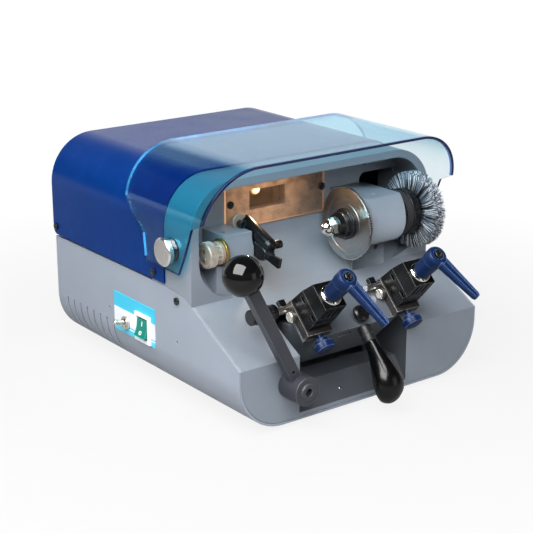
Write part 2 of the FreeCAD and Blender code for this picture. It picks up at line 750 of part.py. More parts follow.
motorAt = (s.motor_y, s.motor_z)
motor = joined(rod("x", (-s.motor_left, s.motor_right), motorAt, s.motor_diameter),
               rod("x", (-s.motor_left - 8, s.motor_right + 5), motorAt, s.motor_diameter * 0.7))
piece("motor_body", without(motor, rod("x", (s.motor_right - 40, s.motor_right + 6), motorAt, boreDiameter)))
cradleY = (s.motor_y - 40, s.motor_y + 40)
cradle = joined(block((-50, 50), cradleY, (s.shell_sheet, s.shell_sheet + 4)),
                *[block(x, cradleY, (s.shell_sheet, s.motor_z - 22)) for x in ((-50, -45), (45, 50))])
piece("motor_bracket", without(cradle, rod("x", (-60, 60), motorAt, s.motor_diameter + gap)))
motorWheel = (s.pulley_x, beltSpan[1] + 4)
piece("motor_pulley", joined(groovedWheel(motorWheel, motorAt, s.motor_pulley_diameter, None),
                             rod("x", (s.motor_right - 38, motorWheel[1] + 2), motorAt, s.shaft_diameter)))


# the belt's inner or outer face as one closed loop round both pulleys
def beltLoop(offset):
    beltX = number(beltSpan[0])
    wheels = (s.pulley_diameter, s.motor_pulley_diameter)
    centres = [FreeCAD.Vector(beltX, number(y), number(z)) for y, z in (spindleAt, motorAt)]
    radii = [number(wheel / 2 - s.groove_depth) + offset for wheel in wheels]
    line = centres[1] - centres[0]
    lean = math.asin((radii[1] - radii[0]) / line.Length)
    heading = math.atan2(line.z, line.y)

    def touch(index, side):
        angle = heading + side * (math.pi / 2 + lean)
        return centres[index] + FreeCAD.Vector(0, math.cos(angle), math.sin(angle)) * radii[index]

    def far(index, way):
        return centres[index] + FreeCAD.Vector(0, math.cos(heading), math.sin(heading)) * radii[index] * way

    edges = [Part.LineSegment(touch(0, 1), touch(1, 1)), Part.Arc(touch(1, 1), far(1, 1), touch(1, -1)),
             Part.LineSegment(touch(1, -1), touch(0, -1)), Part.Arc(touch(0, -1), far(0, -1), touch(0, 1))]
    return Part.Face(Part.Wire([edge.toShape() for edge in edges]))


belt = document.addObject("Part::Feature", "belt")
beltSection = beltLoop(number(gap) + number(s.belt_thick)).cut(beltLoop(number(gap)))
belt.Shape = beltSection.extrude(FreeCAD.Vector(number(s.belt_width), 0, 0))
piece("drive_belt", belt)

# tracer that feels the pattern key

tracerX = (-s.tracer_left, -s.tracer_right)
upper = prism("yz", [(bayBack, s.tracer_top), (-100, s.tracer_top), (-100, 172), (-103, 164.5),
                     (-103, s.tracer_step), (bayBack, s.tracer_step)], tracerX)
pedestal = block((tracerX[0] - 7, tracerX[1]), (-s.tracer_y, bayBack), (90, s.tracer_step + 0.5))
tracerAt = (-s.tracer_y, s.tracer_z)
stemEnd = tracerX[0] + 16
tracerBore = rod("x", (tracerX[0] - 1, stemEnd + 1), tracerAt, 10 + 2 * gap)
plateNotch = block((-s.lamp_left - gap, tracerX[1] + 1), (lampFace - gap, bayBack + 1),
                   (s.lamp_foot - gap, 300))
piece("tracer_block", without(shared(joined(upper, pedestal), baySpace), castingForm, plateNotch, tracerBore))
piece("tracer_ring", ring((tracerX[0] - 3, tracerX[0]), tracerAt, s.tracer_knob_diameter + 2, 10 + 2 * gap))
knobEnd = tracerX[0] - 22
knobSeat = tracerX[0] - 3 - gap
knobWide = s.tracer_knob_diameter
tracerKnob = joined(rod("x", (knobEnd + 1.5, knobSeat), tracerAt, knobWide),
                    taper("x", (knobEnd, knobEnd + 1.5), tracerAt, knobWide - 3, knobWide),
                    rod("x", (knobSeat - 1, stemEnd), tracerAt, 10))
knobFace = [rod("x", (knobEnd - 1, knobEnd + 3), (-s.tracer_y, s.tracer_z + z), 4) for z in (-7, 7)]
piece("tracer_knob", without(tracerKnob, *knobFace))

bodyX = tracerX[1] + s.tracer_wall + s.tracer_body_diameter / 2


# a piece of the tracer in a frame whose first axis leads down to its tip
def alongTracer(thing):
    return place(grouped(thing), (bodyX, -98, 175), (1, 0, 0), s.tracer_tilt)


def tracerRod(diameter, span):
    return alongTracer(rod("y", span, (0, 0), diameter))


bodySpan = (-27, s.tracer_body_length - 27)
piece("tracer_body", joined(tracerRod(s.tracer_body_diameter, bodySpan),
                            alongTracer(rod("x", (s.tracer_body_diameter / 2 - 1, 14), (-22, -1.5), 5))))
clampLug = alongTracer(joined(rod("y", (-10, 4), (0, 0), s.tracer_body_diameter + 7),
                              block((-6, 5), (-9, 3), (8, 15))))
clampTrim = block((tracerX[1] - 20, tracerX[1]), (-200, 0), (100, 300))
piece("tracer_clamp", without(clampLug, clampTrim, tracerRod(s.tracer_body_diameter + 2 * gap, (-60, 60))))
fingerX = s.cutter_x + s.cutter_thick / 2 - s.clamp_spacing
finger = prism("yz", [(-117, 177), (-126, 172), (-142.5, 152), (-139.5, 149.8), (-128, 157.5), (-117, 160)],
               (fingerX - s.finger_thick / 2, fingerX + s.finger_thick / 2))
piece("tracer_finger", without(finger, tracerRod(s.tracer_body_diameter, (bodySpan[0], 60))))

# traverse lever on the nose

leverAt = (-s.lever_x, 0, s.lever_z)
hubY = (front - gap - s.lever_hub_length, front - gap)
armY = (hubY[0] + hubY[1]) / 2


def onLever(thing):
    return place(grouped(thing), leverAt, (0, 1, 0), -s.lever_tilt)


leverHub = joined(rod("y", hubY, (0, 0), s.lever_hub_diameter),
                  rod("y", (hubY[1] - 1, front + 28), (0, 0), 12))
leverSocket = rod("y", (hubY[0] - 3, hubY[0] + 5), (0, 0), 8)
leverWasher = rod("y", (hubY[0] - 2, hubY[0] + 1), (0, 0), 17)
piece("lever_hub", onLever(without(joined(leverHub, leverWasher), leverSocket)))
barSpan = (armY - 5, armY + 5)
barEnd = s.lever_length - s.ball_diameter / 2 + 5
bar = without(block((-6.5, 6.5), barSpan, (s.lever_hub_diameter / 2 - 3, barEnd)),
              rod("y", hubY, (0, 0), s.lever_hub_diameter + gap), rod("y", (armY - 6, armY + 6), (0, 23), 4))
piece("lever_bar", onLever(bar))
knobBall = without(ball((0, armY, s.lever_length), s.ball_diameter),
                   block((-6.5 - gap, 6.5 + gap), (barSpan[0] - gap, barSpan[1] + gap), (0, barEnd + gap)))
piece("lever_ball", onLever(knobBall))

# carriage shaft in the pocket walls and the bushes that slide along it

railEnds = (-s.pocket_left - s.pocket_wall - 6, s.pocket_right + s.pocket_wall + 6)
pivot = (s.pivot_back, -s.pivot_drop)
tilted("carriage_shaft", rod("x", railEnds, pivot, s.rail_diameter))
apronX = (-s.apron_left, s.apron_right)
bushSpans = [(apronX[0], apronX[0] + 14), (apronX[1] - 14, apronX[1])]
bushBore = s.rail_diameter + 2 * gap
tilted("carriage_bushes", *[ring(span, pivot, s.bush_diameter, bushBore) for span in bushSpans])

# carriage frame; below, Y runs back up the tilted deck and Z stands square on it

deckTop = -s.base_height
deckFoot = deckTop - s.deck_sheet
apronFront = -s.base_depth - gap
apronBack = apronFront + s.apron_sheet
leftEdge = s.clamp_left - s.jaw_width / 2
rightEdge = leftEdge + s.clamp_spacing
deck = block((leftEdge - 2, apronX[1]), (apronFront, 0), (deckFoot, deckTop))
tongue = block((apronX[1] - 1, rightEdge + s.jaw_width + 1), (-34, 0), (deckFoot, deckTop))
apron = block(apronX, (apronFront, apronBack), (-s.apron_drop, deckTop))
arms = [prism("yz", [(-10, deckTop - 1), (apronBack - 1, deckTop - 1), (apronBack - 1, -s.apron_drop),
                     (pivot[0] - 12, pivot[1] - 12), (pivot[0] + 12, pivot[1] - 4),
                     (pivot[0] + 12, pivot[1] + 8), (-10, -s.arm_waist)], span)
        for span in ((apronX[0], apronX[0] + 6), (apronX[1] - 6, apronX[1]))]
tube = rod("x", apronX, pivot, s.tube_diameter)
lockAt = (s.lock_x, -s.lock_reach)
deckHoles = [rod("x", (apronX[0] - 1, apronX[1] + 1), pivot, s.bush_diameter + 2 * gap),
             block((-24, -11), (apronFront - 1, apronBack + 1), (-24, -19)),
             rod("y", (apronFront - 1, apronBack + 1), (-24, -21.5), 8),
             rod("z", (deckFoot - 1, deckTop + 1), lockAt, 10 + 2 * gap)]
tilted("carriage_frame", without(joined(deck, tongue, apron, *arms, tube), *deckHoles))
tilted("lock_knob", joined(rod("z", (-5.5, -2), lockAt, 19), taper("z", (-2, 0), lockAt, 19, 14),
                           rod("z", (deckFoot - 6, -5), lockAt, 10)))

# carriage handle, swelling into a bulb
neck = s.handle_neck / 2
bulb = s.handle_bulb / 2
handleRun = [(0, -15, neck), (14, -15.2, neck), (18, -15.4, neck * 1.15), (30, -16, neck * 1.4),
             (46, -17.8, bulb * 0.82), (60, -20, bulb * 0.98), (70, -22, bulb), (79, -24.2, bulb * 0.86),
             (84, -25.6, bulb * 0.5)]
rings = []
for reach, rise, radius in handleRun:
    circle = document.addObject("Part::Circle", "ring")
    measure(circle, "Radius", radius)
    rings.append(place(circle, (s.handle_x, apronFront - reach, rise), (1, 0, 0), 90.0))
handle = document.addObject("Part::Loft", "handle")
handle.Sections = rings
handle.Solid = True
tilted("carriage_handle", handle)

# two key clamps

clampX = [s.clamp_left, s.clamp_left + s.clamp_spacing]
studY = -s.stud_reach
gaugeAt = (-s.gauge_reach, -s.gauge_drop)
jawHalf = s.jaw_width / 2
hubFoot = s.jaw_top + 3.6
hubTop = s.jaw_top + 3 + s.hub_height
studBore = s.stud_diameter + 2 * gap


def jawSpan(x):
    return (x - jawHalf, x + jawHalf)


def clampBase(x):
    body = block((x - jawHalf - 2, x + jawHalf + 3), (-s.base_depth, 0), (deckTop, 0))
    return without(body, rod("z", (deckTop - 1, 1), (x, studY), studBore),
                   rod("x", (x - jawHalf - 3, x - 2), gaugeAt, s.gauge_diameter + 2 * gap),
                   rod("y", (-s.base_depth - 1, -s.base_depth + 7), (x, -s.thumb_drop), 6 + 2 * gap))


def lowerJaw(x):
    body = prism("yz", [(0, 0), (-1.6, s.jaw_split), (-s.jaw_depth + 0.6, s.jaw_split),
                        (-s.jaw_depth, s.jaw_split * 0.535), (-s.jaw_depth, 0)], jawSpan(x))
    across = (x - jawHalf - 1, x + jawHalf + 1)
    slotZ = (s.jaw_split * 0.68, s.jaw_split * 0.84)
    slots = [block(across, (-s.jaw_depth * far, -s.jaw_depth * close), slotZ)
             for far, close in ((0.35, 0.14), (0.925, 0.735))]
    groove = block(across, (-s.jaw_depth - 3, -s.jaw_depth + 0.8), (s.jaw_split * 0.5, s.jaw_split * 0.57))
    return without(body, *slots, groove, rod("z", (-1, s.jaw_split + 1), (x, studY), studBore))


def upperJaw(x):
    body = prism("yz", [(-1.7, s.jaw_split + gap), (-5.6, s.jaw_top), (-s.jaw_depth + 1.8, s.jaw_top),
                        (-s.jaw_depth + 0.6, s.jaw_split + gap)], jawSpan(x))
    return without(body, rod("z", (s.jaw_split, s.jaw_top + 1), (x, studY), studBore))


def stud(x):
    return rod("z", (deckTop + 1, hubTop - 8), (x, studY), s.stud_diameter)


def clampLever(x, turn):
    neckRod = joined(taper("z", (hubFoot, hubTop - 8), (0, 0), s.hub_diameter, s.hub_diameter + 2),
                     rod("z", (hubTop - 8.5, hubTop), (0, 0), s.hub_diameter + 2))
    arm = prism("xy", [(-7.5, 0), (-4.6, -s.arm_reach), (4.6, -s.arm_reach), (7.5, 0)],
                (hubTop - 9.5, hubTop - 0.5))
    arm = rounded(arm, 3.5, "z", lambda c: c.y < -40)
    body = without(joined(neckRod, arm), rod("z", (hubFoot - 1, hubTop - 7), (0, 0), studBore))
    return place(grouped(body), (x, studY, 0), (0, 0, 1), turn)


def leverCollar(x):
    bore = rod("z", (s.jaw_top - 1, hubFoot + 1), (x, studY), studBore)
    return without(rod("z", (s.jaw_top, hubFoot), (x, studY), s.hub_diameter + 3), bore)


def thumbKnob(x):
    start = -s.base_depth
    return joined(rod("y", (start - 18, start - 9), (x, -s.thumb_drop), s.thumb_diameter),
                  rod("y", (start - 10, start - 5), (x, -s.thumb_drop), s.thumb_diameter * 0.6),
                  rod("y", (start - 6, start + 6), (x, -s.thumb_drop), 6))


def gauge(x):
    edge = x - jawHalf
    pin = rod("x", (edge - 22, x - 3), gaugeAt, s.gauge_diameter)
    finger = block((edge - 14, edge - 6), (gaugeAt[0], gaugeAt[0] + 10), (gaugeAt[1] - 2.5, gaugeAt[1] + 2.5))
    return joined(pin, finger)


tilted("clamp_bases", *[clampBase(x) for x in clampX])
tilted("lower_jaws", *[lowerJaw(x) for x in clampX])
tilted("clamp_studs", *[stud(x) for x in clampX])
stopX = [x - jawHalf - 2 for x in clampX]
tilted("stop_screws", *[rod("x", (x - 8, x), (-16, -4.2), 11) for x in stopX])
for name, x, turn in (("left", clampX[0], s.left_arm_turn), ("right", clampX[1], s.right_arm_turn)):
    tilted(name + "_upper_jaw", upperJaw(x))
    tilted(name + "_clamp_lever", clampLever(x, turn))
    tilted(name + "_lever_collar", leverCollar(x))
    tilted(name + "_thumb_knob", thumbKnob(x))
    tilted(name + "_gauge", gauge(x))
gaugeKnobEnd = leftEdge - 22
tilted("gauge_knob", rod("x", (gaugeKnobEnd - 31, gaugeKnobEnd), gaugeAt, 16))

document.recompute()
os.makedirs("parts", exist_ok=True)
for node in nodes:
    if "Invalid" in node.State or "Error" in node.State or node.Shape.isNull() or not node.Shape.isValid():
        raise SystemExit("bad piece " + node.Label)
    node.Shape.exportStep("parts/" + node.Label + ".step")
    box = node.Shape.BoundBox
    print(node.Label, len(node.Shape.Solids), round(node.Shape.Volume), [round(value, 1) for value in (
        box.XMin, box.XMax, box.YMin, box.YMax, box.ZMin, box.ZMax)])
print(len(nodes), "pieces")
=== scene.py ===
import bmesh
import bpy
import json
import math
from mathutils import Matrix, Vector


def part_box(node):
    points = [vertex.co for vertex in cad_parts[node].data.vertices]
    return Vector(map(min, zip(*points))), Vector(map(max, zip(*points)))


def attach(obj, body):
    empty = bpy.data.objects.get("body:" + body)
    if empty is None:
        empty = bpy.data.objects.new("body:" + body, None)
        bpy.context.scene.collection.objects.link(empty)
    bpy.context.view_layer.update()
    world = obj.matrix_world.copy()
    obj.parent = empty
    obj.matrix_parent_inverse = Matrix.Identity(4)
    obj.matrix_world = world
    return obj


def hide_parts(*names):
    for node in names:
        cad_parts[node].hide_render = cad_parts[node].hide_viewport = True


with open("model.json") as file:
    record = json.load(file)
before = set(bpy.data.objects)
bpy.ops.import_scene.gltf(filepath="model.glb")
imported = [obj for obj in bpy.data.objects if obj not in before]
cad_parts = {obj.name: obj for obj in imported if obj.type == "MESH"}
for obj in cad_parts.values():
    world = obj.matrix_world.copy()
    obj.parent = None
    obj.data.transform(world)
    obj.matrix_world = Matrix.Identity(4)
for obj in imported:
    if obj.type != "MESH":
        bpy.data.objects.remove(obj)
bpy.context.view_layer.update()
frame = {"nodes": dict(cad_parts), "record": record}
nodes = frame["nodes"]
groups = frame["record"]["behaviour"]["bodies"]
bodyOf = {name: body for body, names in groups.items() for name in names}
slotOf = {row["node"]: row["material_slot"] for row in frame["record"]["subparts"]}
scene = bpy.context.scene
mm = 0.001
turnX = Matrix.Rotation(math.radians(90), 4, "Y")  # the local Z axis laid along X
deck = Matrix.Translation((0, -0.154, 0.1243)) @ Matrix.Rotation(math.radians(45), 4, "X")
spindle = Matrix.Translation((0, -0.105, 0.1732)) @ turnX
clampX = {"left": -63.5, "right": 55.5}  # the two clamps' places along the deck
deckFace, apronFace = Vector((0, -0.7071, 0.7071)), Vector((0, -0.7071, -0.7071))
print("frame loaded", len(nodes), "nodes")


def at(x, y, z):  # a place given in millimetres
    return Matrix.Translation((x * mm, y * mm, z * mm))


# materials

def tint(red, green, blue):  # screen colour to linear light
    def linear(part):
        part /= 255
        return part / 12.92 if part <= 0.04045 else ((part + 0.055) / 1.055) ** 2.4
    return (linear(red), linear(green), linear(blue), 1.0)


def scaled(colour, share):
    return (*[min(1.0, part * share) for part in colour[:3]], 1.0)


def newTree(name):
    material = bpy.data.materials.new(name)
    material.use_nodes = True
    material.node_tree.nodes.clear()
    return material, material.node_tree


def put(tree, kind, inputs=None, **settings):
    made = tree.nodes.new(kind if kind.startswith(("Geometry", "Function", "Shader", "Node")) else "ShaderNode" + kind)
    for key, value in settings.items():
        setattr(made, key, value)
    for key, value in (inputs or {}).items():
        if isinstance(value, bpy.types.NodeSocket):
            tree.links.new(value, made.inputs[key])
        else:
            made.inputs[key].default_value = value
    return made


def spotOf(tree, scale=(1, 1, 1)):
    spot = put(tree, "TexCoord").outputs["Object"]
    if scale == (1, 1, 1):
        return spot
    return put(tree, "Mapping", {"Vector": spot, "Scale": scale}).outputs["Vector"]


def noise(tree, spot, scale, detail=2.0):
    return put(tree, "TexNoise", {"Vector": spot, "Scale": scale, "Detail": detail}).outputs["Fac"]


def ranged(tree, value, low, high, fromLow=0.32, fromHigh=0.68, ease="LINEAR"):
    inputs = {"Value": value, "From Min": fromLow, "From Max": fromHigh, "To Min": low, "To Max": high}
    return put(tree, "MapRange", inputs, interpolation_type=ease).outputs["Result"]


def maths(tree, operation, first, second=0.0):
    return put(tree, "Math", {0: first, 1: second}, operation=operation).outputs[0]


def vectors(tree, operation, first, second=(0, 0, 0)):
    result = put(tree, "VectorMath", {0: first, 1: second}, operation=operation)
    return result.outputs["Value" if operation in ("DOT_PRODUCT", "LENGTH", "DISTANCE") else "Vector"]


def product(tree, first, second):
    return maths(tree, "MULTIPLY", first, second)


def surface(tree, final):
    put(tree, "OutputMaterial", {"Surface": final.outputs[0]})


def blend(tree, factor, first, second):
    return put(tree, "Mix", {0: factor, 6: first, 7: second}, data_type="RGBA").outputs[2]


def bumped(tree, height, strength, distance):
    return put(tree, "Bump", {"Height": height, "Strength": strength, "Distance": distance}).outputs["Normal"]


def rounded(tree, radius):  # how far a point lies on an edge; the lighter edge colour there is partly a rubbed finish and partly a painted highlight
    soft = put(tree, "Bevel", {"Radius": radius}, samples=4).outputs["Normal"]
    hard = put(tree, "NewGeometry").outputs["Normal"]
    return ranged(tree, vectors(tree, "DOT_PRODUCT", soft, hard), 1.0, 0.0, 0.86, 0.995)


def turned(tree, centre, way, scale):  # fine rings left by the lathe about an axis
    inputs = {"Vector": spotOf(tree), "Location": [-part * mm for part in centre]}
    spot = put(tree, "Mapping", inputs).outputs["Vector"]
    reach = vectors(tree, "LENGTH", vectors(tree, "MULTIPLY", spot, way))
    return put(tree, "TexNoise", {"W": reach, "Scale": scale, "Detail": 3.0}, noise_dimensions="1D").outputs["Fac"]


def finish(name, look):  # one painted, moulded or machined surface from its dictionary
    material, tree = newTree(name)
    spot = spotOf(tree)
    broad = noise(tree, spot, look.get("broad", 22.0), 3.0)
    if "centre" in look:
        fine = turned(tree, look["centre"], look["way"], look["fine"])
    else:
        fine = noise(tree, spotOf(tree, look.get("stretch", (1, 1, 1))), look.get("fine", 900.0), 2.0)
    base, tone = look["colour"], look.get("tone", 0.06)
    colour = blend(tree, ranged(tree, broad, 0.0, 1.0), scaled(base, 1 - tone), scaled(base, 1 + tone))
    fleck = look.get("fleck", scaled(base, 1.6))
    colour = blend(tree, ranged(tree, fine, 0.0, look.get("speck", 0.05)), colour, fleck)
    # a lighter colour along the edges: partly a rubbed finish, partly a painted highlight
    if "edge" in look:
        rim = rounded(tree, look.get("edgeRadius", 0.0007))
        wornAndLit = product(tree, rim, ranged(tree, broad, look.get("wear", 0.3), 1.0))
        colour = blend(tree, wornAndLit, colour, look["edge"])
    rough, spread = look.get("rough", 0.4), look.get("spread", 0.06)
    halves = maths(tree, "ADD", product(tree, broad, 0.5), product(tree, fine, 0.5))
    uneven = ranged(tree, halves, max(0.02, rough - spread), rough + spread)
    relief = {"Height": fine, "Strength": look.get("bump", 0.15), "Distance": look.get("depth", 0.0002)}
    if "soft" in look:
        relief["Normal"] = put(tree, "Bevel", {"Radius": look["soft"]}, samples=4).outputs["Normal"]
    normal = put(tree, "Bump", relief).outputs["Normal"]
    inputs = {"Base Color": colour, "Roughness": uneven, "Normal": normal, "Metallic": look.get("metallic", 0.0),
              "Specular IOR Level": look.get("specular", 0.5), "Coat Weight": look.get("coat", 0.0),
              "Coat Roughness": look.get("coatRough", 0.1), "Specular Tint": look.get("shine", (1, 1, 1, 1))}
    surface(tree, put(tree, "BsdfPrincipled", inputs))
    return material


brushed = {"metallic": 1.0, "bump": 0.03, "depth": 0.0001, "tone": 0.05}
looks = {
    "shellPaint": {"colour": tint(134, 142, 154), "rough": 0.42, "fine": 1100, "bump": 0.2, "depth": 0.0002,
                   "tone": 0.03},
    "castPaint": {"colour": tint(121, 129, 139), "rough": 0.34, "fine": 560, "bump": 0.6, "depth": 0.0004, "tone": 0.04,
                  "speck": 0.07, "soft": 0.0014},
    "coverPaint": {"colour": tint(0, 41, 103), "rough": 0.25, "fine": 1300, "bump": 0.06, "depth": 0.0002, "tone": 0.05,
                   "speck": 0.02, "specular": 0.12, "shine": (0.05, 0.45, 1, 1)},
    # painted shade for the carriage pocket
    "pocketShadePaint": {"colour": tint(64, 68, 74), "rough": 0.45, "fine": 620, "bump": 0.4, "depth": 0.0004, "tone": 0.08},
    # painted shade for inside faces and for what lies behind slots
    "innerShadePaint": {"colour": tint(24, 25, 28), "rough": 0.6, "fine": 900, "bump": 0.2, "tone": 0.1},
    "panelPaint": {"colour": tint(128, 134, 142), "rough": 0.45, "fine": 1000, "bump": 0.25, "tone": 0.04},
    "whitePlastic": {"colour": tint(226, 228, 232), "rough": 0.35, "fine": 900, "bump": 0.05, "tone": 0.02},
    "deckPaint": {"colour": tint(92, 98, 106), "rough": 0.36, "fine": 700, "stretch": (0.15, 1, 1), "bump": 0.05,
                  "metallic": 0.2, "edge": tint(190, 194, 198), "wear": 0.6},
    "apronSteel": {"colour": tint(86, 90, 96), "rough": 0.42, "fine": 700, "stretch": (0.15, 1, 1), "bump": 0.08,
                   "edge": tint(150, 155, 160)},
    "brightSteel": {**brushed, "colour": tint(196, 194, 190), "rough": 0.26, "fine": 1500, "stretch": (0.15, 1, 1)},
    "cutterSteel": {**brushed, "colour": tint(144, 143, 142), "rough": 0.3, "fine": 1400, "centre": (0, -105, 173.2),
                    "way": (0, 1, 1), "bump": 0.12, "speck": 0.3, "fleck": tint(120, 116, 112)},
    "warmSteel": {"colour": tint(44, 42, 41), "rough": 0.4, "specular": 0.2, "fine": 900, "stretch": (1, 0.15, 1),
                  "bump": 0.06, "tone": 0.25, "broad": 130, "edge": tint(200, 196, 190), "wear": 0.6},
    "blackSteel": {"colour": tint(11, 12, 13), "rough": 0.3, "fine": 900, "bump": 0.08, "tone": 0.2, "broad": 90,
                   "edge": tint(150, 156, 162), "edgeRadius": 0.0005, "wear": 0.35, "specular": 0.14},
    "satinBlack": {"colour": tint(14, 14, 16), "rough": 0.24, "specular": 0.32, "fine": 700, "bump": 0.04,
                   "tone": 0.15, "broad": 120, "edge": tint(112, 116, 122)},
    "nickel": {**brushed, "colour": tint(204, 199, 190), "rough": 0.34, "fine": 1600, "edge": tint(240, 236, 228)},
    "paleNickel": {"colour": tint(146, 132, 119), "rough": 0.4, "metallic": 0.2, "fine": 1200, "bump": 0.12,
                   "tone": 0.1, "broad": 140, "edge": tint(236, 232, 226), "wear": 0.4},
    "chrome": {"colour": tint(224, 220, 210), "rough": 0.06, "metallic": 1.0, "fine": 500, "bump": 0.01,
               "depth": 0.0001, "tone": 0.03, "spread": 0.03},
    "aluminium": {**brushed, "colour": tint(222, 218, 214), "rough": 0.24, "fine": 1300, "centre": (0, -66, 170.5),
                  "way": (0, 1, 1), "bump": 0.05},
    "brass": {**brushed, "colour": tint(178, 146, 84), "rough": 0.4, "fine": 1200, "tone": 0.1, "broad": 150},
    "matteBlack": {"colour": tint(24, 24, 26), "rough": 0.46, "fine": 1200, "bump": 0.2, "tone": 0.12, "broad": 120,
                   "edge": tint(84, 86, 90)},
    "gripBlack": {"colour": tint(8, 8, 9), "rough": 0.2, "specular": 0.26, "fine": 400, "bump": 0.02, "tone": 0.1},
    "glossBlack": {"colour": tint(9, 9, 10), "rough": 0.05, "fine": 260, "bump": 0.006, "spread": 0.02, "tone": 0.1,
                   "specular": 0.3},
    "bluePlastic": {"colour": tint(9, 31, 68), "rough": 0.4, "fine": 1300, "bump": 0.16, "tone": 0.08, "broad": 90,
                    "edge": tint(120, 144, 190), "edgeRadius": 0.001, "wear": 0.6, "specular": 0.16},
    "rubber": {"colour": tint(30, 30, 31), "rough": 0.7, "fine": 1500, "bump": 0.4, "tone": 0.15},
    "greenPlastic": {"colour": tint(0, 116, 100), "rough": 0.22, "fine": 600, "bump": 0.02, "tone": 0.06,
                     "edge": tint(0, 190, 180), "edgeRadius": 0.0012, "wear": 0.8},
    "markWhite": {"colour": tint(236, 238, 240), "rough": 0.4, "fine": 900, "bump": 0.04, "tone": 0.02},
    "motorIron": {"colour": tint(70, 74, 78), "rough": 0.5, "fine": 500, "bump": 0.4, "tone": 0.12},
    "leverSteel": {"colour": tint(56, 58, 65), "rough": 0.4, "metallic": 0.3, "fine": 900, "stretch": (1, 1, 0.12),
                   "bump": 0.05, "tone": 0.1, "edge": tint(150, 152, 160)},
    "edgeAcrylic": {"colour": tint(3, 24, 70), "rough": 0.12, "fine": 500, "bump": 0.02, "tone": 0.2, "broad": 60},
    # painted glint on the shield's rear cut edges
    "edgeLight": {"colour": tint(104, 156, 202), "rough": 0.08, "fine": 500, "bump": 0.02, "tone": 0.6, "broad": 24,
                  "speck": 0.2, "fleck": tint(190, 226, 244)},
}
made = {name: finish(name, look) for name, look in looks.items()}


# the shield's clear blue sheet
sheet = {"tint": (0.66, 0.87, 0.95, 1), "slant": (0.6, 0.84, 0.93, 1), "left": (0.42, 0.83, 0.92, 1),
         "right": (0.9, 0.95, 0.97, 1), "lip": (0.14, 0.24, 0.48, 1), "dust": 1800.0}
clearSheet, tree = newTree("clearSheet")
dust = noise(tree, spotOf(tree), sheet["dust"], 3.0)
haze = noise(tree, spotOf(tree), 14.0, 2.0)
facing = put(tree, "LayerWeight", {"Blend": 0.5}).outputs["Facing"]
deeper = maths(tree, "ADD", ranged(tree, facing, 0.0, 1.0, 0.4, 0.75), ranged(tree, haze, -0.03, 0.03))
parts = put(tree, "SeparateXYZ", {0: spotOf(tree)}).outputs
through = blend(tree, deeper, sheet["tint"], sheet["slant"])
# the tint is deeper on the sheet's left side and paler on its right side: painted light, the sheet itself being one
# tint
through = blend(tree, ranged(tree, parts["X"], 1.0, 0.0, -0.166, -0.13), through, sheet["left"])
through = blend(tree, ranged(tree, parts["X"], 0.0, 1.0, 0.13, 0.166), through, sheet["right"])
ahead = maths(tree, "ADD", product(tree, parts["Y"], -0.97), product(tree, parts["Z"], -0.25))
lip = product(tree, ranged(tree, ahead, 0.0, 1.0, 0.0691, 0.0693), maths(tree, "GREATER_THAN", parts["Z"], 0.211))
clear = put(tree, "BsdfTransparent", {"Color": blend(tree, lip, through, sheet["lip"])})
shine = put(tree, "BsdfGlossy", {"Color": (0.9, 0.96, 1, 1), "Roughness": ranged(tree, dust, 0.02, 0.07)})
mirror = maths(tree, "ADD", product(tree, maths(tree, "POWER", facing, 5.0), 0.9), 0.035)
mixed = put(tree, "MixShader", {0: mirror, 1: clear.outputs[0], 2: shine.outputs[0]})
surface(tree, mixed)
made["clearSheet"] = clearSheet

# the lamp's clear plate, with a painted warm glow that fades away from the bulb and a painted glow on its cut edges;
# its brown body colour is painted warm light from the lit wall behind it
plate = {"bulb": (-0.044, -0.061, 0.212), "reach": 0.11, "warm": tint(255, 190, 136), "clear": 0.4,
         "window": (-38.5, 205.5), "half": (23.5, 10.5)}
warmSheet, tree = newTree("warmSheet")
spot = spotOf(tree)
away = vectors(tree, "DISTANCE", spot, plate["bulb"])
fall = ranged(tree, away, 1.0, 0.0, 0.006, plate["reach"], "SMOOTHERSTEP")
smudge = ranged(tree, noise(tree, spot, 90.0, 4.0), 0.55, 1.25)
brush = ranged(tree, noise(tree, spotOf(tree, (0.06, 1, 1)), 1500.0, 2.0), 0.85, 1.1)
lit = product(tree, product(tree, maths(tree, "POWER", fall, 2.2), smudge), brush)
ends = put(tree, "SeparateXYZ", {0: put(tree, "NewGeometry").outputs["Normal"]}).outputs
rim = maths(tree, "GREATER_THAN", maths(tree, "MAXIMUM", maths(tree, "ABSOLUTE", ends["X"]),
                                        maths(tree, "ABSOLUTE", ends["Z"])), 0.5)
parts = put(tree, "SeparateXYZ", {0: spot}).outputs
inside = [maths(tree, "LESS_THAN", maths(tree, "ABSOLUTE", maths(tree, "SUBTRACT", parts[axis], middle * mm)),
                half * mm)
          for axis, middle, half in zip("XZ", plate["window"], plate["half"])]
window = product(tree, *inside)
# painted glow: strongest near the bulb, fading with distance, and on the plate's cut edges
glowing = maths(tree, "ADD", product(tree, lit, 0.55), product(tree, rim, 0.4))
# the brown body colour stands for painted warm light on the wall behind the plate
body = put(tree, "BsdfPrincipled", {"Base Color": blend(tree, smudge, tint(112, 96, 88), tint(134, 112, 98)),
                                    "Roughness": ranged(tree, smudge, 0.2, 0.4, 0.5, 1.3),
                                    "Emission Color": plate["warm"], "Emission Strength": glowing})
clear = put(tree, "BsdfTransparent", {"Color": (0.95, 0.86, 0.78, 1)})
clearer = maths(tree, "ADD", product(tree, window, 0.52), plate["clear"])
share = product(tree, maths(tree, "SUBTRACT", 1.0, rim), clearer)
mixed = put(tree, "MixShader", {0: share, 1: body.outputs[0], 2: clear.outputs[0]})
surface(tree, mixed)
made["warmSheet"] = warmSheet

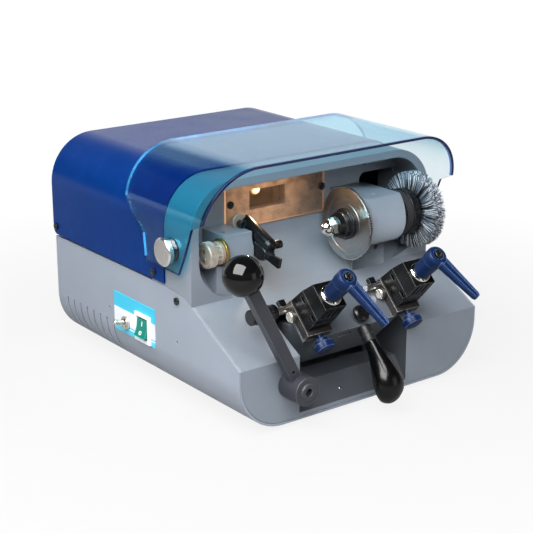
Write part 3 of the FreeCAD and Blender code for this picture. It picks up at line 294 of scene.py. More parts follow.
# the bulb's grey glass, hot where the filament sits
filament = {"at": (-0.0445, -0.0525, 0.2125), "reach": 0.0095, "glow": 14.0}
bulbGlow, tree = newTree("bulbGlow")
away = vectors(tree, "DISTANCE", spotOf(tree), filament["at"])
near = ranged(tree, away, 1.0, 0.0, 0.001, filament["reach"], "SMOOTHSTEP")
streak = ranged(tree, noise(tree, spotOf(tree, (1, 1, 0.2)), 900.0, 3.0), 0.4, 1.2)
hot = product(tree, maths(tree, "POWER", near, 2.5), product(tree, streak, filament["glow"]))
glass = put(tree, "BsdfPrincipled", {"Base Color": blend(tree, streak, tint(54, 48, 44), tint(104, 96, 90)),
                                     "Roughness": 0.15, "Emission Color": tint(255, 212, 150),
                                     "Emission Strength": hot})
surface(tree, glass)
made["bulbGlow"] = bulbGlow

# the switch plate's printed bands, by height above the table
bands = {"turquoise": tint(10, 176, 208), "lower": tint(58, 182, 206), "pale": tint(214, 218, 228), "topFrom": 0.0795,
         "lineFrom": 0.0602, "lineTo": 0.0618, "lowTo": 0.0588, "turn": 0.006}
bandPrint, tree = newTree("bandPrint")
place = put(tree, "SeparateXYZ", {0: spotOf(tree)}).outputs
grain = noise(tree, spotOf(tree), 1500.0)
colour = blend(tree, maths(tree, "LESS_THAN", place["Z"], bands["lowTo"]), bands["pale"], bands["lower"])
line = product(tree, maths(tree, "GREATER_THAN", place["Z"], bands["lineFrom"]),
             maths(tree, "LESS_THAN", place["Z"], bands["lineTo"]))
colour = blend(tree, line, colour, bands["turquoise"])
colour = blend(tree, maths(tree, "GREATER_THAN", place["Z"], bands["topFrom"]), colour, bands["turquoise"])
colour = blend(tree, ranged(tree, grain, 0.0, 0.06), colour, (0.9, 0.95, 1.0, 1))
shader = put(tree, "BsdfPrincipled", {"Base Color": colour, "Roughness": ranged(tree, grain, 0.3, 0.42),
                                      "Normal": bumped(tree, grain, 0.06, 0.0001)})
surface(tree, shader)
made["bandPrint"] = bandPrint

# the brush wires, each given its own tone at random; the dark tones are painted shade between the wires and the white
# ones painted glints
wire = {"dark": tint(22, 28, 38), "pale": tint(146, 164, 184), "white": tint(244, 248, 252)}
brushWire, tree = newTree("brushWire")
tone = put(tree, "Attribute", attribute_name="tone", attribute_type="GEOMETRY").outputs["Fac"]
grain = noise(tree, spotOf(tree), 2500.0)
colour = blend(tree, ranged(tree, tone, 0.0, 1.0, 0.3, 0.72), wire["dark"], wire["pale"])
colour = blend(tree, ranged(tree, tone, 0.0, 1.0, 0.74, 0.8), colour, wire["white"])
colour = blend(tree, ranged(tree, grain, 0.0, 0.25), colour, wire["dark"])
shader = put(tree, "BsdfPrincipled", {"Base Color": colour, "Roughness": ranged(tree, grain, 0.35, 0.5)})
surface(tree, shader)
made["brushWire"] = brushWire
print("materials", len(made))


# mesh helpers

def show(name, mesh, material, body, slot, *stands):
    piece = bpy.data.objects.new(name, mesh)
    scene.collection.objects.link(piece)
    if len(mesh.materials):
        mesh.materials.clear()
    for one in (material if isinstance(material, list) else [material]):
        mesh.materials.append(made[one])
    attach(piece, body)
    if stands:
        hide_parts(*stands)
    return piece


def evaluated(holder, name):  # the holder's modifiers worked into a plain mesh
    graph = bpy.context.evaluated_depsgraph_get()
    result = bpy.data.meshes.new_from_object(holder.evaluated_get(graph), preserve_all_data_layers=True,
                                             depsgraph=graph)
    bpy.data.objects.remove(holder)
    result.name = name
    return result


def held(name, draft):
    mesh = bpy.data.meshes.new(name + "Draft")
    draft.to_mesh(mesh)
    draft.free()
    holder = bpy.data.objects.new(name + "Draft", mesh)
    scene.collection.objects.link(holder)
    return holder


def settled(name, draft, limit=40.0, weighted=True):  # a draft mesh with even normals
    holder = held(name, draft)
    holder.data.shade_smooth()
    holder.data.set_sharp_from_angle(angle=math.radians(limit))
    if weighted:
        even = holder.modifiers.new("even", "WEIGHTED_NORMAL")
        even.weight = 60
        even.keep_sharp = True
    return evaluated(holder, name)


def merged(node):
    draft = bmesh.new()
    draft.from_mesh(nodes[node].data)
    bmesh.ops.remove_doubles(draft, verts=draft.verts, dist=3e-6)
    bmesh.ops.dissolve_degenerate(draft, edges=draft.edges, dist=1e-6)
    bmesh.ops.dissolve_limit(draft, angle_limit=math.radians(0.4), verts=draft.verts, edges=draft.edges)
    return draft


def bevelled(draft, width, segments=2, limit=30.0):
    sharp = [edge for edge in draft.edges
             if len(edge.link_faces) == 2 and edge.calc_face_angle() > math.radians(limit)]
    bmesh.ops.bevel(draft, geom=sharp, offset=width, offset_type="OFFSET", segments=segments, profile=0.5,
                    affect="EDGES", clamp_overlap=True, loop_slide=True)
    return draft


def camel(node):
    first, *rest = node.split("_")
    return first + "".join(word.capitalize() for word in rest)


def skin(node, material, width=0.0005, choose=None, before=None, after=None):  # the node's own form with softened edges
    draft = merged(node)
    if before:
        before(draft)
    if width:
        bevelled(draft, width)
    if after:
        after(draft)
    if choose:
        for face in draft.faces:
            face.material_index = choose(face)
    return show(camel(node), settled(camel(node), draft, 40.0, not before), material, bodyOf[node], slotOf[node], node)


def outward(draft):
    bmesh.ops.recalc_face_normals(draft, faces=draft.faces)
    return draft


def dress(node, draft, material, limit=40.0, name=None):  # a new form that stands for the node
    name = name or camel(node)
    return show(name, settled(name, draft, limit), material, bodyOf[node], slotOf[node], node)


def softened(profile, size, steps=3):  # the corners of a turned profile rounded off
    path = [Vector(point[:2]) for point in profile]
    out = [tuple(profile[0])]
    for before, corner, after, point in zip(path, path[1:], path[2:], profile[1:]):
        back, ahead = before - corner, after - corner
        reach = min(size, 0.45 * back.length, 0.45 * ahead.length)
        start, end = corner + back.normalized() * reach, corner + ahead.normalized() * reach
        for step in range(steps + 1):
            share = step / steps
            spot = start.lerp(corner, share).lerp(corner.lerp(end, share), share)
            out.append((*spot, *point[2:]))
    out.append(tuple(profile[-1]))
    return out


def lathe(draft, profile, place, steps=64, loop=False):  # rings of (along, radius, form) in millimetres
    turns = [2 * math.pi * step / steps for step in range(steps)]
    rings = []
    for along, radius, *form in profile:
        if radius < 1e-6:
            rings.append([draft.verts.new(place @ Vector((0, 0, along * mm)))])
            continue
        reach = [radius * mm * (form[0](turn) if form else 1.0) for turn in turns]
        rings.append([draft.verts.new(place @ Vector((far * math.cos(turn), far * math.sin(turn), along * mm)))
                      for far, turn in zip(reach, turns)])
    skinned(draft, rings, loop)
    return draft


def skinned(draft, rings, loop=False):
    steps = max(len(ring) for ring in rings)
    for low, high in list(zip(rings, rings[1:])) + ([(rings[-1], rings[0])] if loop else []):
        for here in range(steps):
            there = (here + 1) % steps
            corners = [low[here % len(low)], low[there % len(low)], high[there % len(high)], high[here % len(high)]]
            corners = list(dict.fromkeys(corners))
            if len(corners) > 2:
                draft.faces.new(corners)
    if not loop:
        if len(rings[0]) > 2:
            draft.faces.new(list(reversed(rings[0])))
        if len(rings[-1]) > 2:
            draft.faces.new(rings[-1])


def block(draft, x, y, z, place=Matrix()):  # a box between pairs of millimetres
    corners = [place @ Vector((a * mm, b * mm, c * mm)) for a in x for b in y for c in z]
    spots = [draft.verts.new(corner) for corner in corners]
    for face in ((0, 1, 3, 2), (4, 6, 7, 5), (0, 4, 5, 1), (2, 3, 7, 6), (0, 2, 6, 4), (1, 5, 7, 3)):
        draft.faces.new([spots[corner] for corner in face])
    return draft


def hexForm(turn):
    return math.cos(math.pi / 6) / math.cos(turn % (math.pi / 3) - math.pi / 6)


def carved(name, draft, tools):  # the draft with every tool's form cut out of it
    holder = held(name, draft)
    cutter = held(name + "Tool", tools)
    cut = holder.modifiers.new("cut", "BOOLEAN")
    cut.operation, cut.solver, cut.object = "DIFFERENCE", "EXACT", cutter
    mesh = evaluated(holder, name)
    bpy.data.objects.remove(cutter)
    result = bmesh.new()
    result.from_mesh(mesh)
    bpy.data.meshes.remove(mesh)
    bmesh.ops.remove_doubles(result, verts=result.verts, dist=2e-6)
    return result


# geometry node trees for what repeats

def newGroup(name, fields):
    tree = bpy.data.node_groups.new(name, "GeometryNodeTree")
    tree.interface.new_socket("Geometry", in_out="INPUT", socket_type="NodeSocketGeometry")
    tree.interface.new_socket("Geometry", in_out="OUTPUT", socket_type="NodeSocketGeometry")
    for label, kind in fields.items():
        tree.interface.new_socket(label, in_out="INPUT", socket_type="NodeSocket" + kind)
    return tree, put(tree, "NodeGroupInput").outputs


def closeGroup(tree, geometry, finishSocket):
    real = put(tree, "GeometryNodeRealizeInstances", {"Geometry": geometry}).outputs[0]
    dressed = put(tree, "GeometryNodeSetMaterial", {"Geometry": real, "Material": finishSocket}).outputs[0]
    put(tree, "NodeGroupOutput", {"Geometry": dressed})


def repeated(name, draft, tree, values):  # the draft shape laid out by a tree, as one plain mesh
    holder = held(name, draft)
    layer = holder.modifiers.new("layout", "NODES")
    layer.node_group = tree
    for item in tree.interface.items_tree:
        if item.in_out == "INPUT" and item.name in values:
            layer[item.identifier] = values[item.name]
    return evaluated(holder, name)


ringTree, given = newGroup("ringOfPieces", {"Count": "Int", "Radius": "Float", "Finish": "Material"})
circle = put(ringTree, "GeometryNodeMeshCircle", {"Vertices": given["Count"], "Radius": given["Radius"]}).outputs[0]
here = put(ringTree, "GeometryNodeInputPosition").outputs[0]
upright = put(ringTree, "FunctionNodeAlignRotationToVector", {"Vector": (0, 0, 1)}, axis="X").outputs[0]
facing = put(ringTree, "FunctionNodeAlignRotationToVector", {"Rotation": upright, "Vector": here}, axis="Z",
             pivot_axis="X").outputs[0]
copies = put(ringTree, "GeometryNodeInstanceOnPoints", {"Points": circle, "Instance": given["Geometry"],
                                                         "Rotation": facing}).outputs[0]
closeGroup(ringTree, copies, given["Finish"])

brushTree, given = newGroup("brushOfWires", {"Count": "Int", "Core": "Float", "Width": "Float", "Lean": "Float",
                                             "Seed": "Int", "Finish": "Material"})
points = put(brushTree, "GeometryNodePoints", {"Count": given["Count"]}).outputs[0]
goldenTurn = 2.399963
angle = product(brushTree, put(brushTree, "GeometryNodeInputIndex").outputs[0], goldenTurn)
radial = put(brushTree, "CombineXYZ", {0: maths(brushTree, "COSINE", angle),
                                       1: maths(brushTree, "SINE", angle)}).outputs[0]
spans = ((-0.5, 0.5), (-1, 1), (-1, 1), (0.9, 1), (0, 1))  # level, sway, tilt, length, shade
drawn = [put(brushTree, "FunctionNodeRandomValue", {2: low, 3: high, 8: maths(brushTree, "ADD", given["Seed"], step)},
             data_type="FLOAT").outputs[1] for step, (low, high) in enumerate(spans)]
level = product(brushTree, drawn[0], given["Width"])
core = put(brushTree, "VectorMath", {0: radial, "Scale": given["Core"]}, operation="SCALE").outputs[0]
start = put(brushTree, "VectorMath", {0: core, 1: put(brushTree, "CombineXYZ", {2: level}).outputs[0]}).outputs[0]
stood = put(brushTree, "GeometryNodeSetPosition", {"Geometry": points, "Position": start}).outputs[0]
across = put(brushTree, "CombineXYZ", {0: product(brushTree, maths(brushTree, "SINE", angle), drawn[1]),
                                       1: product(brushTree, maths(brushTree, "COSINE", angle),
                                                product(brushTree, drawn[1], -1.0)),
                                       2: product(brushTree, drawn[2], 0.35)}).outputs[0]
slack = put(brushTree, "VectorMath", {0: across, "Scale": given["Lean"]}, operation="SCALE").outputs[0]
aim = put(brushTree, "VectorMath", {0: radial, 1: slack}).outputs[0]
turning = put(brushTree, "FunctionNodeAlignRotationToVector", {"Vector": aim}, axis="Z").outputs[0]
size = put(brushTree, "CombineXYZ", {0: 1.0, 1: 1.0, 2: drawn[3]}).outputs[0]
copies = put(brushTree, "GeometryNodeInstanceOnPoints", {"Points": stood, "Instance": given["Geometry"],
                                                          "Rotation": turning, "Scale": size}).outputs[0]
shaded = put(brushTree, "GeometryNodeStoreNamedAttribute", {"Geometry": copies, "Name": "tone", "Value": drawn[4]},
             data_type="FLOAT", domain="INSTANCE").outputs[0]
closeGroup(brushTree, shaded, given["Finish"])

screwTree, given = newGroup("screwsOnPoints", {"Screw": "Object", "Finish": "Material"})
heading = put(screwTree, "GeometryNodeInputNamedAttribute", {"Name": "heading"}, data_type="FLOAT_VECTOR").outputs[0]
turning = put(screwTree, "FunctionNodeAlignRotationToVector", {"Vector": heading}, axis="Z").outputs[0]
screw = put(screwTree, "GeometryNodeObjectInfo", {"Object": given["Screw"], "As Instance": True}).outputs["Geometry"]
copies = put(screwTree, "GeometryNodeInstanceOnPoints", {"Points": given["Geometry"], "Instance": screw,
                                                          "Rotation": turning}).outputs[0]
closeGroup(screwTree, copies, given["Finish"])


def screws(name, shape, spots, material, body, *stands):  # one screw's form at each (place, heading)
    draft = bmesh.new()
    layer = draft.verts.layers.float_vector.new("heading")
    for spot, heading in spots:
        draft.verts.new([part * mm for part in spot])[layer] = Vector(heading)
    sample = held(name + "Sample", shape)
    mesh = repeated(name, draft, screwTree, {"Screw": sample, "Finish": made[material]})
    bpy.data.objects.remove(sample)
    mesh.shade_smooth()
    mesh.set_sharp_from_angle(angle=math.radians(35))
    return show(name, mesh, material, body, "black_steel", *stands)


def socketHead(wide, high, key):  # a cap screw with a six-sided socket
    profile = [(-1.5, wide * 0.5 - 0.6), (0, wide * 0.5 - 0.2), (0.3, wide * 0.5), (high - 0.5, wide * 0.5),
               (high - 0.1, wide * 0.5 - 0.4), (high, wide * 0.5 - 0.8), (high, key * 0.62),
               (high - 0.2, key * 0.58, hexForm), (high * 0.4, key * 0.56, hexForm), (high * 0.3, 0)]
    return lathe(bmesh.new(), profile, Matrix(), 24)


def ringed(name, shape, count, radius, place, material, body, slot):
    mesh = repeated(name, shape, ringTree, {"Count": count, "Radius": radius * mm, "Finish": made[material]})
    mesh.transform(place)
    return show(name, mesh, material, body, slot)


def ridge(long, wide, high):  # one tooth or rib: X along the axis, Z outwards
    draft = bmesh.new()
    spots = [draft.verts.new((x * mm, y * mm, z * mm)) for x in (-long / 2, long / 2)
             for y, z in ((-wide / 2, -0.3), (wide / 2, -0.3), (0, high))]
    for face in ((0, 2, 1), (3, 4, 5), (0, 1, 4, 3), (1, 2, 5, 4), (2, 0, 3, 5)):
        draft.faces.new([spots[corner] for corner in face])
    return draft


print("helpers ready")

# pieces whose packed form is right, with softened edges
skins = {
    "base_shell": ("shellPaint", 0.0008), "feet": ("rubber", 0.001),
    "rear_panel": ("panelPaint", 0.0006), "power_inlet": ("matteBlack", 0.0005),
    "rocker_bezel": ("whitePlastic", 0.0005), "toggle_bush": ("nickel", 0.0004), "shield_knobs": ("aluminium", 0.0004),
    "shield_spacers": ("matteBlack", 0.0005), "lamp_holder": ("matteBlack", 0.0005),
    "spindle_bearings": ("brightSteel", 0.0003), "spindle_shaft": ("brightSteel", 0.0004),
    "spindle_pulley": ("satinBlack", 0.0006), "brush_hub": ("satinBlack", 0.0006), "motor_body": ("motorIron", 0.002),
    "motor_bracket": ("brightSteel", 0.0004), "motor_pulley": ("aluminium", 0.0005), "drive_belt": ("rubber", 0.0006),
    "tracer_block": ("castPaint", 0.001), "tracer_ring": ("brass", 0.0004), "lever_hub": ("leverSteel", 0.0005),
    "lever_bar": ("leverSteel", 0.0006), "carriage_shaft": ("brightSteel", 0.0005),
    "carriage_bushes": ("brass", 0.0003), "clamp_bases": ("warmSteel", 0.0004),
    "clamp_studs": ("brightSteel", 0.0004), "toggle_lever": ("chrome", 0.0), "rocker": ("greenPlastic", 0.0006),
    "switch_plate": ("bandPrint", 0.0), "lamp_plate": ("warmSheet", 0.0), "lamp_bulb": ("bulbGlow", 0.0),
    "gauge_knob": ("satinBlack", 0.0008), "lower_jaws": ("blackSteel", 0.0004),
}
for node, (material, width) in skins.items():
    skin(node, material, width)


def sheetOrEdge(face):  # cut edges show the colour of the whole sheet; the rear ones get a lighter colour with pale flecks, a painted glint
    way, middle = face.normal, face.calc_center_median()
    if way.y < -0.25 or way.y > 0.85:
        return 1 if way.y < 0 else 2
    return 1 if middle.z < 0.2 and abs(way.x) < 0.35 else 0


def deckOrApron(face):  # what lies behind the apron's slot is painted dark, as painted shade
    if face.normal.dot(deckFace) > 0.6:
        return 0
    if face.normal.dot(apronFace) >= 0.6:
        return 1
    middle = deck.inverted() @ face.calc_center_median() / mm
    behind = middle.z < -8 and abs(face.normal.x) < 0.9
    slot = -30 < middle.x < -9 and -27 < middle.z < -16
    return 2 if behind or slot else 1


def outerOrInner(face):  # the cover's inside is painted dark, as painted shade inside the casing
    middle, way = face.calc_center_median(), face.normal
    inward = way.x * middle.x + way.z * (middle.z - 0.16)
    return 1 if inward < -0.005 else 0


def openOrShadedPocket(face):  # the carriage pocket's side walls, floor and shelf get a darker paint as painted shade
    middle, way = face.calc_center_median() / mm, face.normal
    wall = abs(way.x) > 0.9 and (abs(middle.x - 58.7) < 1 or abs(middle.x + 85.5) < 1)
    return 1 if wall or (middle.z < 45 and way.z > 0.5 and abs(middle.x + 13) < 72) else 0


def sillSmooth(draft):  # the bay's floor runs on into the slope
    for spot in draft.verts:
        x, y, z = spot.co / mm
        if abs(x) < 109 and -98.5 < y < -97.9 and 118 < z < 120.6:
            spot.co.z = 117.98 * mm


def flatTop(draft):  # flat top with a rounded front
    for spot in draft.verts:
        x, y, z = spot.co / mm
        if y < -105 and z > 173.2 and math.hypot(y + 105, z - 173.2) > 27.5:
            spot.co.z = min(201.2, 173.2 + 1.26 * (z - 173.2)) * mm
        elif y >= -105 and z > 195:
            spot.co.z = 201.2 * mm


skin("top_cover", ["coverPaint", "innerShadePaint"], 0.0006, outerOrInner)
skin("shield", ["clearSheet", "edgeAcrylic", "edgeLight"], 0.0009, sheetOrEdge)
skin("front_casting", ["castPaint", "pocketShadePaint"], 0.0008, openOrShadedPocket, None, sillSmooth)
skin("spindle_housing", "castPaint", 0.0009, None, flatTop)
skin("carriage_frame", ["deckPaint", "apronSteel", "innerShadePaint"], 0.0005, deckOrApron)
print("skins", len(skins) + 5)

# round black ball on the traverse lever
low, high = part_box("lever_ball")
ball = {"centre": (low + high) / 2, "radius": max(high - low) / 2 / mm, "rings": 40}
arcs = [math.pi * step / ball["rings"] for step in range(ball["rings"] + 1)]
profile = [(-ball["radius"] * math.cos(arc), ball["radius"] * math.sin(arc)) for arc in arcs]
draft = lathe(bmesh.new(), profile, Matrix.Translation(ball["centre"]), 72)
dress("lever_ball", draft, "glossBlack", 80)

# carriage handle: a matte neck with a ring, then a glossy bulb
handle = {"x": 2.0, "root": -42.3, "steps": 48,
          "neck": [(0, -15, 0.5), (0, -15, 6.0), (0.8, -15, 6.9), (9.2, -15.1, 6.9), (9.6, -15.1, 6.4),
                   (10.6, -15.1, 6.4), (11, -15.1, 7.2), (17.2, -15.3, 7.3), (18, -15.4, 6.6), (18, -15.4, 0.5)],
          "grip": [(17.4, -15.4, 0.5), (17.4, -15.4, 6.2), (19, -15.5, 6.9), (30, -16, 8.6), (44, -17.6, 12.2),
                   (57, -19.6, 15.4), (66.5, -21.4, 16.2), (75, -23.4, 14), (80, -24.8, 8.2), (81.6, -25.2, 3.8),
                   (82, -25.3, 0.4)]}


def lofted(name, keys, smooth):  # round sections along the handle's bent line
    if smooth:
        fuller = []
        for index in range(len(keys) - 1):
            around = [min(max(index + step, 0), len(keys) - 1) for step in (-1, 0, 1, 2)]
            before, start, end, after = (Vector(keys[spot]) for spot in around)
            steps = 6 if index > 1 else 1
            for share in (part / steps for part in range(steps)):
                fuller.append(0.5 * (2 * start + (end - before) * share
                                     + (2 * before - 5 * start + 4 * end - after) * share ** 2
                                     + (3 * start - before - 3 * end + after) * share ** 3))
        keys = fuller + [Vector(keys[-1])]
    draft = bmesh.new()
    rings = []
    for reach, drop, radius in keys:
        ring = []
        for step in range(handle["steps"]):
            turn = 2 * math.pi * step / handle["steps"]
            lean = 0.16 * radius * math.sin(turn) if smooth else 0.0
            spot = Vector((handle["x"] - radius * math.cos(turn), handle["root"] - reach + lean,
                           drop + radius * math.sin(turn)))
            ring.append(draft.verts.new(deck @ (spot * mm)))
        rings.append(ring)
    skinned(draft, rings)
    return settled(name, outward(draft), 50)


show("handleNeck", lofted("handleNeck", handle["neck"], False), "matteBlack", "carriage", slotOf["carriage_handle"])
show("carriageHandle", lofted("carriageHandle", handle["grip"], True), "gripBlack", "carriage",
     slotOf["carriage_handle"], "carriage_handle")

# clamp levers: turned hub, channelled arm and a socket screw on top
clampLever = {"stud": -21.5, "swing": {"left": 18.0, "right": 23.0},
              "hub": [(44.8, 5.2), (44.8, 9.0), (46.4, 9.3), (60, 9.9), (66.6, 10.2), (67.0, 10.9), (75.6, 10.9),
                      (78.4, 9.5), (79, 8.0), (79, 5.6), (77.6, 5.4), (77.6, 0)],
              "arm": [(2.0, 6.9, 69.0, 78.4), (12.0, 6.3, 69.3, 78.4), (30, 5.4, 69.6, 78.0), (55.6, 4.3, 70.6, 77.4),
                      (58.4, 3.2, 71.6, 76.6)], "screw": (9.0, 3.4, 5.0)}
section = [(-1, 0.28), (-0.78, 0), (0.78, 0), (1, 0.28), (1, 0.76), (0.8, 1), (0.58, 1), (0.46, 0.82),
           (-0.46, 0.82), (-0.58, 1), (-0.8, 1), (-1, 0.76)]
for side, x in clampX.items():
    swing = clampLever["swing"][side]
    stood = deck @ at(x, clampLever["stud"], 0) @ Matrix.Rotation(math.radians(swing), 4, "Z")
    draft = lathe(bmesh.new(), softened(clampLever["hub"], 0.7), stood, 56)
    arm = bmesh.new()
    rings = [[arm.verts.new(stood @ (Vector((-wide * half, -reach, foot + (head - foot) * rise)) * mm))
              for wide, rise in section] for reach, half, foot, head in clampLever["arm"]]
    skinned(arm, rings)
    bevelled(outward(arm), 0.0002, 2, 25)
    shape = bpy.data.meshes.new("armDraft")
    arm.to_mesh(shape)
    arm.free()
    draft.from_mesh(shape)
    bpy.data.meshes.remove(shape)
    node = side + "_clamp_lever"
    dress(node, draft, "bluePlastic", 20)
    up = deck.to_3x3() @ Vector((0, 0, 1))
    top = stood @ Vector((0, 0, 77.6 * mm))
    screws(side + "LeverScrew", socketHead(*clampLever["screw"]), [([part / mm for part in top], up)], "satinBlack",
           side + "_lever")
    collar = softened([(41, 5.4), (41, 11.2), (42.4, 11.5), (43.6, 11.0), (44.6, 9.2), (44.6, 5.4)], 0.5)
    draft = lathe(bmesh.new(), collar, deck @ at(x, clampLever["stud"], 0), 56, True)
    node = side + "_lever_collar"
    dress(node, draft, "chrome")

# scalloped thumb knobs under the clamps
thumb = {"lobes": 8, "depth": 0.07, "profile": [(-60, 0), (-60.0, 6.0), (-59.6, 8.4), (-58.6, 10.4, 1),
                                                (-56.0, 11.0, 1), (-52.6, 10.9, 1), (-51.6, 9.6, 1), (-51.2, 7.2),
                                                (-50.6, 6.6), (-47.4, 6.6), (-46.8, 5.6), (-46.8, 3.0),
                                                (-36.4, 3.0), (-36.4, 0)]}


def lobeForm(turn):
    return 1 - thumb["depth"] * (0.5 + 0.5 * math.cos(thumb["lobes"] * turn)) ** 1.6


for side, x in clampX.items():
    profile = [(*point[:2], lobeForm) if len(point) > 2 else point for point in thumb["profile"]]
    stood = deck @ at(x, 0, -3.7) @ Matrix.Rotation(math.radians(-90), 4, "X")
    node = side + "_thumb_knob"
    draft = lathe(bmesh.new(), profile, stood, 96)
    dress(node, draft, "bluePlastic", 35)

# upper jaws with grooves down their front faces
jaw = {"grooves": (-7.5, -1.2, 5.2), "wide": 2.4, "deep": 2.4, "front": -36.8, "foot": 20.0, "head": 45.0}
for side, x in clampX.items():
    node = side + "_upper_jaw"
    tools = bmesh.new()
    for groove in jaw["grooves"]:
        block(tools, (x + groove - jaw["wide"] / 2, x + groove + jaw["wide"] / 2),
              (jaw["front"] - 3, jaw["front"] + jaw["deep"]), (jaw["foot"], jaw["head"]), deck)
    dress(node, bevelled(carved(camel(node), merged(node), outward(tools)), 0.0004), "blackSteel")

# slotted stop screws on the clamps' left sides
stopScrew = [(-23.5, 0), (-23.5, 4.6), (-22.6, 5.5), (-18.4, 5.5), (-18.0, 3.2), (-15.5, 3.2), (-15.5, 0)]
draft, tools = bmesh.new(), bmesh.new()
for x in clampX.values():
    stood = deck @ at(0, -16, -4.2) @ turnX
    head = [(x + along, radius) for along, radius in stopScrew]
    lathe(draft, softened(head, 0.3), stood, 40)
    block(tools, (x - 25, x - 22.2), (-23, -9), (-4.9, -3.5), deck)
dress("stop_screws", carved("stopScrews", draft, outward(tools)), "nickel", 50)


def pinOrFinger(face):  # round pin bright, flat finger black
    spot = deck.inverted() @ face.calc_center_median()
    return 0 if (spot - Vector((spot.x, -6 * mm, -5 * mm))).length < 3.7 * mm else 1


for node in ("left_gauge", "right_gauge"):
    skin(node, ["brightSteel", "satinBlack"], 0.0005, pinOrFinger)

# lock knob: mushroom cap on a ribbed sleeve
lock = {"at": (-1.4, -31.5), "profile": [(-19, 0), (-19, 4.6), (-5.5, 4.6), (-5.4, 6.4), (-5.1, 9.3), (-3.8, 9.5),
                                         (-1.6, 8.7), (-0.2, 6.2), (0, 3.0), (0, 0)], "ribs": 20}
stood = deck @ at(*lock["at"], 0)
draft = lathe(bmesh.new(), softened(lock["profile"], 0.5), stood, 56)
dress("lock_knob", draft, "satinBlack")
ringed("lockKnobRibs", ridge(11.0, 1.1, 0.45), lock["ribs"], 4.6, stood @ at(0, 0, -12.6), "satinBlack", "lock_knob",
       slotOf["lock_knob"])

# cutter disc with its fine teeth, flange and cap nut
cutter = {"teeth": 88, "rim": 39.0, "disc": [(34.4, 6.4), (34.4, 22), (34.7, 22.4), (34.7, 30), (34.4, 30.4),
                                             (34.4, 38.2), (34.9, 39.0), (37.1, 39.0), (37.6, 38.2), (37.6, 6.4)]}
draft = lathe(bmesh.new(), cutter["disc"], spindle, 128, True)
dress("cutter", draft, "cutterSteel", 30, "cutterDisc")
ringed("cutterTeeth", ridge(2.6, 2.5, 1.0), cutter["teeth"], cutter["rim"], spindle @ at(0, 0, 36), "brightSteel",
       "spindle", slotOf["cutter"])
flange = [(17.5, 6.4), (17.5, 11), (18.2, 11.6), (25, 13.2), (25.4, 14.6), (28, 14.9), (28.4, 14.2), (31, 14.8),
          (31.4, 17), (34.4, 17), (34.4, 6.4)]
draft = lathe(bmesh.new(), softened(flange, 0.5), spindle, 72, True)
dress("cutter_flange", draft, "satinBlack")
dome = [(8.7 - 8 * math.cos(math.radians(arc)), 8 * math.sin(math.radians(arc))) for arc in range(0, 85, 6)]
nut = dome + [(8.4, 8.6), (8.9, 9.8, hexForm), (9.4, 10.3, hexForm), (17.1, 10.3, hexForm), (17.5, 9.8, hexForm),
              (17.5, 6.6), (17.5, 0)]
draft = lathe(bmesh.new(), nut, spindle, 72)
dress("cutter_nut", draft, "chrome", 28)

# brush of stiff wires
brush = {"wires": 5600, "core": 20.6, "length": 21.8, "thick": 0.42, "width": 17.2, "middle": 132.5, "lean": 0.07,
         "seed": 11}
draft = bmesh.new()
rings = [[draft.verts.new((reach * mm * math.cos(turn) + sway * mm, reach * mm * math.sin(turn), along * mm))
          for turn in (0, 2.094, 4.189)]
         for along, reach, sway in ((0, brush["thick"], 0), (0.55 * brush["length"], brush["thick"] * 0.85, 0.5),
                                    (brush["length"], brush["thick"] * 0.55, -0.2))]
skinned(draft, rings)
mesh = repeated("brushBristles", draft, brushTree, {"Count": brush["wires"], "Core": brush["core"] * mm,
                                                    "Width": brush["width"] * mm, "Lean": brush["lean"],
                                                    "Seed": brush["seed"], "Finish": made["brushWire"]})
mesh.transform(spindle @ at(0, 0, brush["middle"]))
mesh.shade_smooth()
show("brushBristles", mesh, "brushWire", "spindle", slotOf["brush_bristles"], "brush_bristles")

# knurled tracer knob with two dimples in its face, given the brighter nickel as a painted highlight
knob = {"place": at(0, -95, 168) @ turnX, "ridges": 84,
        "profile": [(-141.4, 0), (-141.4, 9.6), (-142, 10.2), (-142, 12.2), (-141.2, 13.1), (-133.6, 13.1),
                    (-132.8, 12.2), (-132.6, 11.2, 1), (-127.2, 11.2, 1), (-126.8, 12.0), (-123.4, 12.0),
                    (-123.3, 5.0), (-106, 5.0), (-106, 0)]}


def slitForm(turn):
    return 0.93 if (turn * 14 / (2 * math.pi)) % 1 < 0.2 else 1.0


profile = [(*point[:2], slitForm) if len(point) > 2 else point for point in knob["profile"]]
draft = lathe(bmesh.new(), profile, knob["place"], 140)
dress("tracer_knob", draft, "paleNickel", 35)
ringed("tracerKnurl", ridge(7.2, 0.95, 0.4), knob["ridges"], 13.1, knob["place"] @ at(0, 0, -137.4), "paleNickel",
       "tracer_knob", slotOf["tracer_knob"])
draft = bmesh.new()
for height in (-4.6, 4.6):
    dent = [(-141.0, 0.2), (-141.6, 2.0), (-141.9, 1.9), (-141.8, 1.5), (-141.5, 0)]
    lathe(draft, [(-along, radius) for along, radius in dent], at(0, -95, 168 + height) @ turnX.inverted(), 24)
show("tracerDents", settled("tracerDents", outward(draft)), "nickel", "tracer_knob", slotOf["tracer_knob"])

# ribs round the gauge rod's knob
ringed("gaugeRibs", ridge(20, 1.5, 0.5), 22, 8.0, deck @ at(0, -6, -5) @ turnX @ at(0, 0, -114.5), "satinBlack",
       bodyOf["gauge_knob"], slotOf["gauge_knob"])

# black socket screws on the sides and the lamp plate
sideScrews = [((side * reach, y, z), (side, 0, 0)) for side in (-1, 1)
              for reach, y, z in ((160, -71.8, 117.6), (162.3, -32.3, 139.2), (162.3, 171.7, 140.7))]
lampScrews = [((-87, -63, 204.6), (0, -1, 0)), ((34.5, -63, 206), (0, -1, 0))]
screws("caseScrews", socketHead(8.0, 2.2, 4.0), sideScrews + lampScrews, "satinBlack", bodyOf["case_screws"],
       "case_screws")

